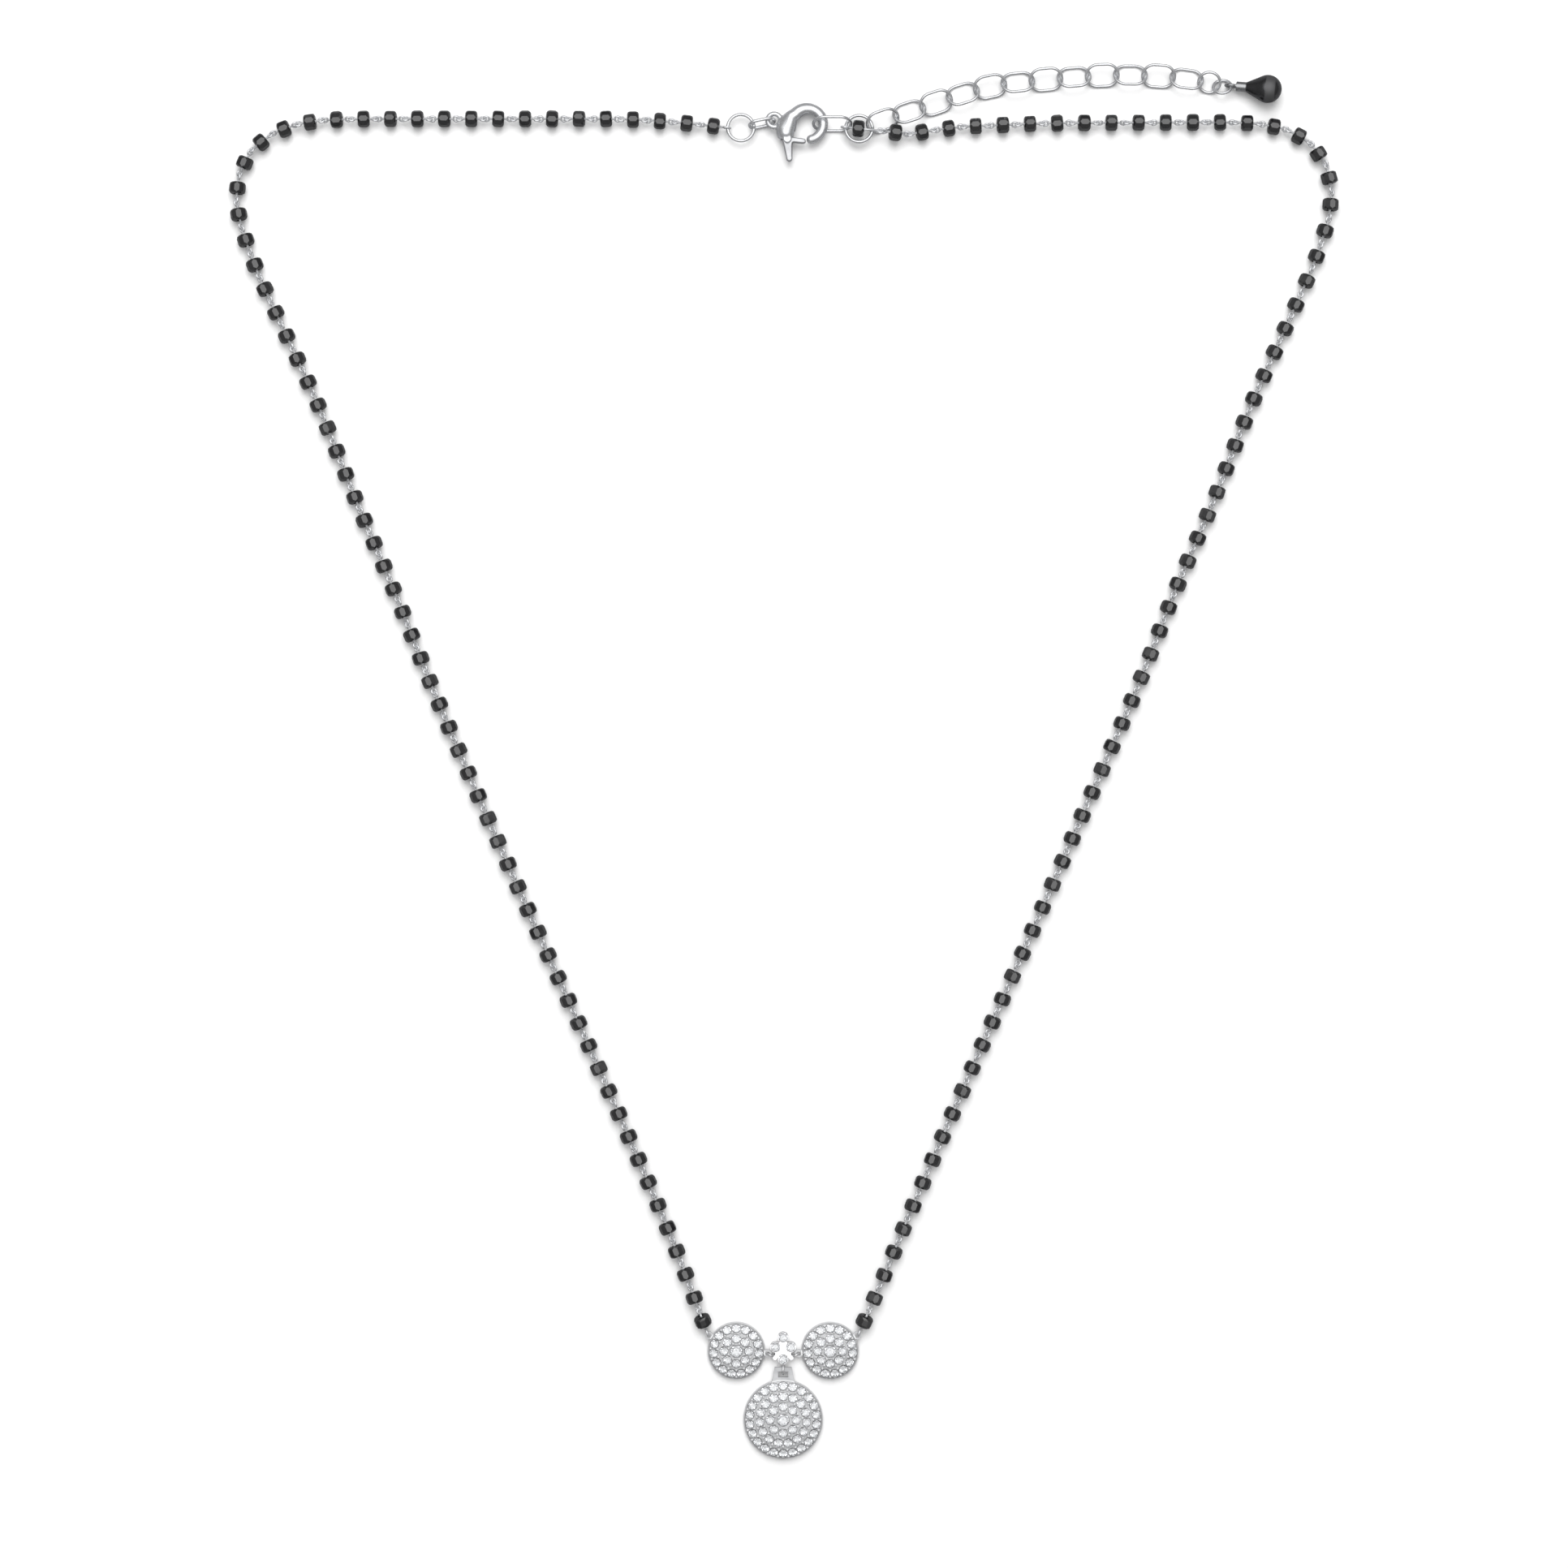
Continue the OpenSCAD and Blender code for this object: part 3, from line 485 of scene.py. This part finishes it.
half_pitch = (left_line[1][0] - left_line[0][0]).length / 2
left_pins = string_of_pins(left_line, half_pitch, "wire_pins_left")
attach(left_pins, "necklace")
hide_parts("string_wire_left")
right_pins = string_of_pins(right_line, half_pitch, "wire_pins_right")
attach(right_pins, "necklace")
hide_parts("string_wire_right")


# Cut stones
# Round brilliants of clear cubic zirconia: an eight-sided table, a crown and a pavilion, with a thin girdle.
# They sit in drilled seats, so the metal below and their own facets make them bright or dark by turns.
ZIRCONIA = (0.53, 0.54, 0.555, 1)
STONE_ROUGHNESS = 0.02
STONE_IOR = 2.16
# Height of the table over the girdle's middle in the CAD, as a share of the stone's diameter
CAD_TABLE_SHARE = 0.175
# Share of the stone's diameter for height over the girdle and radius, number of corners, and turn in corners
STONE_RINGS = (
    (0.165, 0.285, 8, 0.0), (0.105, 0.385, 8, 0.5), (0.018, 0.495, 16, 0.0), (-0.018, 0.495, 16, 0.0),
    (-0.24, 0.255, 8, 0.5), (-0.425, 0.012, 8, 0.0)
)

clear_stone = bpy.data.materials.new("clear_zirconia")
clear_stone.use_nodes = True
stone_shader = clear_stone.node_tree.nodes["Principled BSDF"]
stone_shader.inputs["Base Color"].default_value = ZIRCONIA
stone_shader.inputs["Roughness"].default_value = STONE_ROUGHNESS
stone_shader.inputs["IOR"].default_value = STONE_IOR
stone_shader.inputs["Transmission Weight"].default_value = 1.0


def stone_places(node):
    """Middle of the girdle, upward direction and diameter of every stone of a CAD node."""
    places = []
    for corners, middle, axes in solids_of(node):
        up = min(axes, key=lambda axis: reach(corners, middle, axis))
        up = up if up.z > 0 else -up
        radius = max(((corner - middle) - up * (corner - middle).dot(up)).length for corner in corners)
        top = max((corner - middle).dot(up) for corner in corners)
        places.append((middle + up * (top - 2 * radius * CAD_TABLE_SHARE), up, 2 * radius))
    return places


def brilliant():
    """One stone of diameter 1 about the origin, with its table upwards."""
    mesh = bmesh.new()
    for height, r, corners, turn in STONE_RINGS:
        ring = bmesh.ops.create_circle(mesh, segments=corners, radius=r)["verts"]
        spin = Matrix.Rotation(turn * math.tau / corners, 4, "Z")
        bmesh.ops.transform(mesh, matrix=Matrix.Translation((0, 0, height)) @ spin, verts=ring)
    bmesh.ops.delete(mesh, geom=mesh.edges[:], context="EDGES_FACES")
    bmesh.ops.convex_hull(mesh, input=mesh.verts)
    bmesh.ops.dissolve_limit(mesh, angle_limit=FLAT_WITHIN, verts=mesh.verts, edges=mesh.edges)
    return shape_from(mesh, "brilliant")


one_stone = brilliant()


def tilted_to(middle, up, turn, size):
    """A place whose Z axis points along up, turned about it, at a size."""
    lean = up.to_track_quat("Z", "Y").to_matrix().to_4x4()
    return Matrix.Translation(middle) @ lean @ Matrix.Rotation(turn, 4, "Z") @ Matrix.Scale(size, 4)


stones_of = {}
for node, slot in (
    ("main_disc_stones", "disc_stone"), ("left_disc_stones", "disc_stone"),
    ("right_disc_stones", "disc_stone"), ("cluster_stones", "cluster_stone")
):
    stones_of[node] = stone_places(node)
    stone_mesh = bmesh.new()
    for middle, up, diameter in stones_of[node]:
        add_copy(stone_mesh, one_stone, tilted_to(middle, up, draw.uniform(0, math.tau), diameter))
    name = node.replace("stones", "brilliants")
    stones = piece_from(shape_from(stone_mesh, name), name, clear_stone, False)
    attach(stones, "necklace")
    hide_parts(node)


# Discs
# Three domed discs of cast and plated brass, drilled for the stones. Between the stones the setter has raised
# small beads of metal that hold them. There the face is painted darker than the burnished rim, as painted
# shade in the hollows among the stones.
GRAIN_R = 0.16 * MM
GRAIN_OUT = 0.41
GRAIN_LIFT = 0.03 * MM
GRAIN_RINGS = 6
GRAIN_SIDES = 8
GRAIN_SIZES = (0.9, 1.1)
GRAIN_METAL = (0.82, 0.825, 0.84, 1)
GRAIN_FILM = (0.70, 0.705, 0.72, 1)
GRAIN_FINISH = (0.26, 0.12, 0.001 * MM)
# The face's colours are painted darker than the plating is: painted shade in the hollows among the stones.
SHADED_FACE_METAL = (0.49, 0.495, 0.505, 1)
SHADED_FACE_FILM = (0.39, 0.395, 0.405, 1)
FACE_FINISH = (0.30, 0.16, 0.004 * MM)
SATIN_METALLIC = 0.35
RIM_WIDTH = 0.24 * MM
RIM_MARGIN = 0.02 * MM
RIM_METAL = (0.74, 0.745, 0.755, 1)

ball_mesh = bmesh.new()
bmesh.ops.create_uvsphere(ball_mesh, u_segments=GRAIN_SIDES, v_segments=GRAIN_RINGS, radius=1.0)
ball = shape_from(ball_mesh, "ball")
grain_metal = handled_material("rhodium_grains", GRAIN_METAL, GRAIN_FILM, GRAIN_FINISH, SATIN_METALLIC)


def plate_node(node, material):
    """Gives a CAD piece that stays in sight its material."""
    frame["nodes"][node].data.materials.clear()
    frame["nodes"][node].data.materials.append(material)


def disc_material(name, centre, face_r, disc_r):
    """Plating with painted shade among the stones, with a ring of burnished plating from the face's radius to
    the disc's.
    """
    # The face's colour carries painted shade among the stones, and the rim ring is mixed over it.
    material = handled_material(name, SHADED_FACE_METAL, SHADED_FACE_FILM, FACE_FINISH, SATIN_METALLIC)
    nodes = material.node_tree.nodes
    join = material.node_tree.links.new
    place = nodes.new("ShaderNodeTexCoord")
    about = nodes.new("ShaderNodeMapping")
    about.inputs["Location"].default_value = (-centre.x, -centre.y, 0)
    about.inputs["Scale"].default_value = (1, 1, 0)
    away = nodes.new("ShaderNodeVectorMath")
    away.operation = "LENGTH"
    rim = nodes.new("ShaderNodeMath")
    rim.operation = "COMPARE"
    rim.inputs[1].default_value = (face_r + disc_r) / 2
    rim.inputs[2].default_value = (disc_r - face_r) / 2 + RIM_MARGIN
    burnished = nodes.new("ShaderNodeMix")
    burnished.data_type = "RGBA"
    burnished.inputs["B"].default_value = RIM_METAL
    join(place.outputs["Object"], about.inputs["Vector"])
    join(about.outputs["Vector"], away.inputs[0])
    join(away.outputs["Value"], rim.inputs[0])
    join(rim.outputs["Value"], burnished.inputs["Factor"])
    join(nodes["colour"].outputs["Result"], burnished.inputs["A"])
    join(burnished.outputs["Result"], nodes["Principled BSDF"].inputs["Base Color"])
    return material


def grain_places(places, centre):
    """Between neighbours in a row of stones, one point towards the rim and one towards the middle."""
    rows = {}
    for middle, up, diameter in places:
        flat = Vector((middle.x - centre.x, middle.y - centre.y, 0))
        stone = (math.atan2(flat.y, flat.x), middle, up, diameter)
        rows.setdefault(round(flat.length / MM, 1), []).append(stone)
    points = []
    for row in rows.values():
        row.sort(key=lambda stone: stone[0])
        for k, (angle, middle, up, diameter) in enumerate(row):
            after = row[(k + 1) % len(row)]
            between = (middle + after[1]) / 2
            normal = (up + after[2]).normalized()
            outward = Vector((between.x - centre.x, between.y - centre.y, 0))
            if len(row) > 1:
                outward = (outward - normal * outward.dot(normal)).normalized()
                for side in (-1, 1):
                    points.append((between + outward * side * GRAIN_OUT * diameter, normal))
    return points


for node in ("main_disc", "left_disc", "right_disc"):
    places = stones_of[node + "_stones"]
    centre = sum((middle for middle, up, diameter in places), Vector()) / len(places)
    stones_r = max(
        math.hypot(middle.x - centre.x, middle.y - centre.y) + diameter / 2 for middle, up, diameter in places
    )
    disc_low, disc_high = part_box(node)
    disc_r = min(disc_high.x - disc_low.x, disc_high.y - disc_low.y) / 2
    plate_node(node, disc_material("rhodium_cast_" + node, centre, stones_r + RIM_WIDTH / 2, disc_r))
    grain_mesh = bmesh.new()
    for point, normal in grain_places(places, centre):
        size = GRAIN_R * draw.uniform(*GRAIN_SIZES)
        add_copy(grain_mesh, ball, tilted_to(point + normal * GRAIN_LIFT, normal, 0, size))
    grains = piece_from(shape_from(grain_mesh, "grains"), node + "_grains", grain_metal, True)
    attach(grains, "necklace")


# Cluster
# Four turned cups stand in a diamond and are soldered to a plate, with a small ring on each side and one
# below. Four prongs are pushed over the edge of each stone.
PRONGS = 4
PRONG_R = 0.11 * MM
PRONG_OUT = 0.50
BRIGHT_METAL = (0.90, 0.90, 0.91, 1)
BRIGHT_FILM = (0.80, 0.80, 0.82, 1)
BRIGHT_FINISH = (0.20, 0.12, 0.001 * MM)
BRIGHT_METALLIC = 0.8

bright_metal = handled_material("rhodium_bright", BRIGHT_METAL, BRIGHT_FILM, BRIGHT_FINISH, BRIGHT_METALLIC)
plate_node("cluster_setting", bright_metal)
prong_mesh = bmesh.new()
for middle, up, diameter in stones_of["cluster_stones"]:
    for k in range(PRONGS):
        turn = (k + 0.5) * math.tau / PRONGS
        offset = Vector((math.cos(turn), math.sin(turn), 0)) * PRONG_OUT * diameter
        add_copy(prong_mesh, ball, tilted_to(middle + offset, up, 0, PRONG_R))
prongs = piece_from(shape_from(prong_mesh, "prongs"), "cluster_prongs", bright_metal, True)
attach(prongs, "necklace")


# Rings and chain links
# Jump rings and oval links bent from round wire and plated. The jump rings are pressed shut, so a fine slit
# stays where their ends meet, and the links are soldered.
LOOP_STEPS = 46
LOOP_SIDES = 12
ROUND_WITHIN = 1.02
JUMP_SLIT = 0.05 * MM
EXTENDER_LINKS = 12
WIRE_FINISH = (0.20, 0.12, 0.002 * MM)
WIRE_METALLIC = 0.85
# Material slot and slit of each ring and link
LOOPS = {
    "clasp_ring": ("ring_wire", JUMP_SLIT), "clasp_link": ("ring_wire", 0), "hook_link": ("ring_wire", 0),
    "end_ring": ("ring_wire", JUMP_SLIT), "drop_ring": ("ring_wire", JUMP_SLIT),
    "extender_end_link": ("chain_wire", 0)
}
LOOPS.update({"extender_link_%02d" % (k + 1): ("chain_wire", 0) for k in range(EXTENDER_LINKS)})

wire_metal = handled_material("rhodium_wire", RHODIUM, RHODIUM_FILM, WIRE_FINISH, WIRE_METALLIC)
for node, (slot, slit) in LOOPS.items():
    corners, middle, axes = solids_of(node)[0]
    long_half, wide_half, wire_r = (reach(corners, middle, axis) for axis in axes)
    along = axes[0]
    if long_half < wide_half * ROUND_WITHIN:
        long_half = wide_half
        along = Vector((1, 0, 0)) - axes[2] * axes[2].x
        along.normalize()
    shape = loop_shape(wide_half - wire_r, wire_r, LOOP_STEPS, LOOP_SIDES, long_half - wide_half, slit)
    shape.transform(
        Matrix.Translation(middle) @ Matrix((along, axes[2].cross(along), axes[2])).transposed().to_4x4()
    )
    loop = piece_from(shape, node + "_wire", wire_metal, True)
    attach(loop, "necklace")
    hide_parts(node)


# Clasp
# A lobster clasp, cast and tumbled, so all its edges are soft: a tail ring, a full body with a low boss round
# the pin, and a tapering hook. A lever closes the hook and turns on the pin in the slot of the body.
PIVOT = Vector(frame["joints"][0]["pos_m"])
TAIL_FROM_PIVOT = Vector((-1.55, 2.25, 0)) * MM
TAIL_R = 0.78 * MM
TAIL_STOCK_R = 0.3 * MM
# Place of the casting's middle line from the tail ring's middle, and its radius there, in millimetres. The
# body fills all the space between the back's line and the belly's.
BACK_LINE = (
    (0.84, 0.02, 0.40), (1.15, 0.09, 0.50), (1.45, 0.19, 0.60), (1.75, 0.32, 0.69), (2.05, 0.47, 0.76)
)
BELLY_LINE = (
    (0.84, -0.02, 0.40), (0.95, -0.36, 0.58), (1.08, -0.72, 0.80), (1.24, -1.10, 1.00), (1.4, -1.45, 1.12)
)
ROOT_LINE = ((2.05, 0.47, 0.76), (2.3, 0.595, 0.775), (2.53, 0.74, 0.77))
LINE_STEPS = 5
BODY_LINES = 8
# The hook bends round a middle that is placed in the same way, also in millimetres
HOOK_CENTRE = (3.95, -0.45)
HOOK_R = 1.85
HOOK_FROM = math.radians(140)
HOOK_TO = math.radians(-77)
HOOK_STEPS = 44
# Share of the hook's way and radius of its stock there, in millimetres
HOOK_STOCK = ((0.0, 0.77), (0.35, 0.62), (1.0, 0.56))
STOCK_SIDES = 20
STOCK_RINGS = 12
BOSS_R = 0.5 * MM
BOSS_HALF = 0.9 * MM
# The slot is round about the pin and opens below it and towards the hook, in millimetres from the pin
SLOT_HALF = 0.55
SLOT_R = 0.71
SLOT_SIDES = 16
SLOT_REACH = 2.1
SLOT_RISE = 1.38
# Share of the way to its neighbours' middle that each round of tumbling moves a point
SOFTENING = 0.5
CLASP_VOXEL = 0.055 * MM
TUMBLING = 20
SLOT_TUMBLING = 2
LEVER_VOXEL = 0.05 * MM
LEVER_TUMBLING = 90
CLASP_METAL = (0.80, 0.81, 0.83, 1)
CLASP_FILM = (0.66, 0.67, 0.69, 1)
CLASP_FINISH = (0.22, 0.14, 0.002 * MM)
CLASP_METALLIC = 0.85
# The lever's colours are darker than the casting's: painted shade for the shade that falls on its thumb tab.
LEVER_SHADED_METAL = (0.62, 0.625, 0.64, 1)
LEVER_SHADED_FILM = (0.48, 0.485, 0.50, 1)
LEVER_FINISH = (0.28, 0.14, 0.002 * MM)

clasp_metal = handled_material("rhodium_tumbled", CLASP_METAL, CLASP_FILM, CLASP_FINISH, CLASP_METALLIC)
shaded_lever_metal = handled_material("rhodium_stamped_shaded", LEVER_SHADED_METAL, LEVER_SHADED_FILM, LEVER_FINISH, CLASP_METALLIC)


def finished(rough):
    """The shape of a rough piece with its modifiers applied. The rough piece itself goes."""
    bpy.context.view_layer.update()
    shape = bpy.data.meshes.new_from_object(rough.evaluated_get(bpy.context.evaluated_depsgraph_get()))
    bpy.data.objects.remove(rough)
    return shape


def tumbled(shape, name, voxel, rounds, material):
    """A shape made one even skin and softened as by tumbling."""
    rough = piece_from(shape, name + "_rough", material, True)
    remesh = rough.modifiers.new("even", "REMESH")
    remesh.mode = "VOXEL"
    remesh.voxel_size = voxel
    soften = rough.modifiers.new("soften", "SMOOTH")
    soften.factor = SOFTENING
    soften.iterations = rounds
    return finished(rough)


def cad_shape(node):
    """The welded shape of a CAD node."""
    mesh = bmesh.new()
    mesh.from_mesh(frame["nodes"][node].data)
    bmesh.ops.remove_doubles(mesh, verts=mesh.verts, dist=WELD)
    return shape_from(mesh, node + "_copy")


def along_line(points):
    """The points with LINE_STEPS even steps from each to the next."""
    return [
        tuple(a + (b - a) * step / LINE_STEPS for a, b in zip(points[k], points[k + 1]))
        for k in range(len(points) - 1) for step in range(LINE_STEPS + 1)
    ]


def body_points():
    """Points all over the body, between its back and its belly."""
    return [
        tuple(back + (belly - back) * k / BODY_LINES for back, belly in zip(*pair))
        for pair in zip(along_line(BACK_LINE), along_line(BELLY_LINE)) for k in range(BODY_LINES + 1)
    ]


def hook_line():
    """Points along the hook from its root to its tip."""
    points = []
    for step in range(HOOK_STEPS + 1):
        share = step / HOOK_STEPS
        angle = HOOK_FROM + (HOOK_TO - HOOK_FROM) * share
        for (low, r_low), (high, r_high) in zip(HOOK_STOCK, HOOK_STOCK[1:]):
            if low <= share <= high:
                r = r_low + (r_high - r_low) * (share - low) / (high - low)
        x = HOOK_CENTRE[0] + HOOK_R * math.cos(angle)
        y = HOOK_CENTRE[1] + HOOK_R * math.sin(angle)
        points.append((x, y, r))
    return points


def rough_claw(tail):
    """The casting before it is tumbled and slotted, with its tail ring about a place."""
    stock_mesh = bmesh.new()
    bmesh.ops.create_uvsphere(stock_mesh, u_segments=STOCK_SIDES, v_segments=STOCK_RINGS, radius=1.0)
    stock = shape_from(stock_mesh, "stock")
    mesh = bmesh.new()
    for x, y, r in body_points() + along_line(ROOT_LINE) + hook_line():
        place = Matrix.Translation(tail + Vector((x, y, 0)) * MM)
        add_copy(mesh, stock, place @ Matrix.Scale(r * MM, 4))
    add_copy(mesh, loop_shape(TAIL_R, TAIL_STOCK_R, LOOP_STEPS, LOOP_SIDES), Matrix.Translation(tail))
    bmesh.ops.create_cone(
        mesh, cap_ends=True, segments=SLOT_SIDES, radius1=BOSS_R, radius2=BOSS_R, depth=2 * BOSS_HALF,
        matrix=Matrix.Translation(PIVOT)
    )
    return shape_from(mesh, "claw")


def slot_shape():
    """The space that is cut out of the body for the lever."""
    mesh = bmesh.new()
    for z in (-SLOT_HALF, SLOT_HALF):
        level = Matrix.Translation((0, 0, z))
        bmesh.ops.create_circle(mesh, segments=SLOT_SIDES, radius=SLOT_R, matrix=level)
        for x, y in ((-SLOT_R, -SLOT_REACH), (SLOT_REACH, -SLOT_REACH), (SLOT_REACH, SLOT_RISE)):
            mesh.verts.new((x, y, z))
    bmesh.ops.delete(mesh, geom=mesh.edges[:], context="EDGES_FACES")
    bmesh.ops.transform(mesh, matrix=Matrix.Translation(PIVOT) @ Matrix.Scale(MM, 4), verts=mesh.verts)
    bmesh.ops.convex_hull(mesh, input=mesh.verts)
    return shape_from(mesh, "slot_cutter")


def stretched_to(shape, low, high):
    """The shape after it is stretched to fill the box between two corners."""
    shape_low, shape_high = (
        Vector(pick(vert.co[k] for vert in shape.vertices) for k in range(3)) for pick in (min, max)
    )
    growth = [(high[k] - low[k]) / (shape_high[k] - shape_low[k]) for k in range(3)]
    from_middle = Matrix.Translation((shape_low + shape_high) / 2).inverted()
    shape.transform(Matrix.Translation((low + high) / 2) @ Matrix.Diagonal(growth + [1]) @ from_middle)
    return shape


casting = tumbled(rough_claw(PIVOT + TAIL_FROM_PIVOT), "claw", CLASP_VOXEL, TUMBLING, clasp_metal)
slot_cutter = piece_from(slot_shape(), "slot_cutter", clasp_metal, False)
uncut = piece_from(casting, "uncut_claw", clasp_metal, True)
cut = uncut.modifiers.new("slot", "BOOLEAN")
cut.operation = "DIFFERENCE"
cut.object = slot_cutter
claw = finished(uncut)
bpy.data.objects.remove(slot_cutter)
clasp_skin = tumbled(claw, "clasp", CLASP_VOXEL, SLOT_TUMBLING, clasp_metal)
clasp = piece_from(clasp_skin, "clasp_casting", clasp_metal, True)
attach(clasp, "necklace")
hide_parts("clasp_body")
lever_skin = tumbled(cad_shape("clasp_lever"), "lever", LEVER_VOXEL, LEVER_TUMBLING, shaded_lever_metal)
lever = piece_from(stretched_to(lever_skin, *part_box("clasp_lever")), "clasp_tongue", shaded_lever_metal, True)
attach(lever, "clasp_lever")
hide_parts("clasp_lever")
plate_node("clasp_pin", clasp_metal)


# End drop
# A solid drop of darker metal, cast in one with its upright loop and its collar, which is brighter. It is
# polished, with a plain frosted band round its belly.
DROP_VOXEL = 0.055 * MM
DROP_TUMBLING = 8
COLLAR_FROM_END = 4.2 * MM
BAND_FROM_END = (0.72 * MM, 1.84 * MM)
BLEND_LENGTH = 0.12 * MM
DROP_METAL = (0.125, 0.125, 0.13, 1)
DROP_FILM = (0.09, 0.09, 0.094, 1)
DROP_FINISH = (0.22, 0.08, 0.001 * MM)
BAND_METAL = (0.20, 0.20, 0.205, 1)
BAND_ROUGHNESS = 0.62
COLLAR_METAL = (0.42, 0.425, 0.435, 1)


def past(material, from_end, distance):
    """A mask that is 1 further than a distance from the drop's round end."""
    mask = material.node_tree.nodes.new("ShaderNodeMapRange")
    mask.inputs["From Min"].default_value = distance - BLEND_LENGTH / 2
    mask.inputs["From Max"].default_value = distance + BLEND_LENGTH / 2
    material.node_tree.links.new(from_end.outputs["Value"], mask.inputs["Value"])
    return mask.outputs["Result"]


def drop_material(end, axis):
    """Dark polish with a frosted band and a bright collar, set out from the drop's round end."""
    material = handled_material("polished_drop", DROP_METAL, DROP_FILM, DROP_FINISH, 1.0)
    nodes = material.node_tree.nodes
    join = material.node_tree.links.new
    shader = nodes["Principled BSDF"]
    place = nodes.new("ShaderNodeTexCoord")
    about = nodes.new("ShaderNodeVectorMath")
    about.operation = "SUBTRACT"
    about.inputs[1].default_value = end
    from_end = nodes.new("ShaderNodeVectorMath")
    from_end.operation = "DOT_PRODUCT"
    from_end.inputs[1].default_value = -axis
    band = nodes.new("ShaderNodeMath")
    band.operation = "SUBTRACT"
    banded = nodes.new("ShaderNodeMix")
    banded.data_type = "RGBA"
    banded.inputs["B"].default_value = BAND_METAL
    collared = nodes.new("ShaderNodeMix")
    collared.data_type = "RGBA"
    collared.inputs["B"].default_value = COLLAR_METAL
    frosted = nodes.new("ShaderNodeMix")
    frosted.inputs["B"].default_value = BAND_ROUGHNESS
    join(place.outputs["Object"], about.inputs[0])
    join(about.outputs["Vector"], from_end.inputs[0])
    join(past(material, from_end, BAND_FROM_END[0]), band.inputs[0])
    join(past(material, from_end, BAND_FROM_END[1]), band.inputs[1])
    join(band.outputs["Value"], banded.inputs["Factor"])
    join(nodes["colour"].outputs["Result"], banded.inputs["A"])
    join(past(material, from_end, COLLAR_FROM_END), collared.inputs["Factor"])
    join(banded.outputs["Result"], collared.inputs["A"])
    join(collared.outputs["Result"], shader.inputs["Base Color"])
    join(band.outputs["Value"], frosted.inputs["Factor"])
    join(nodes["handled"].outputs["Roughness"], frosted.inputs["A"])
    join(frosted.outputs["Result"], shader.inputs["Roughness"])
    return material


drop_corners, drop_middle, drop_axes = solids_of("end_drop")[0]
drop_axis = drop_axes[0] if drop_axes[0].x > 0 else -drop_axes[0]
drop_end = max((corner - drop_middle).dot(drop_axis) for corner in drop_corners)
drop_metal = drop_material(drop_middle + drop_axis * drop_end, drop_axis)
drop_shape = tumbled(cad_shape("end_drop"), "drop", DROP_VOXEL, DROP_TUMBLING, drop_metal)
drop = piece_from(drop_shape, "drop_casting", drop_metal, True)
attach(drop, "necklace")
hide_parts("end_drop")
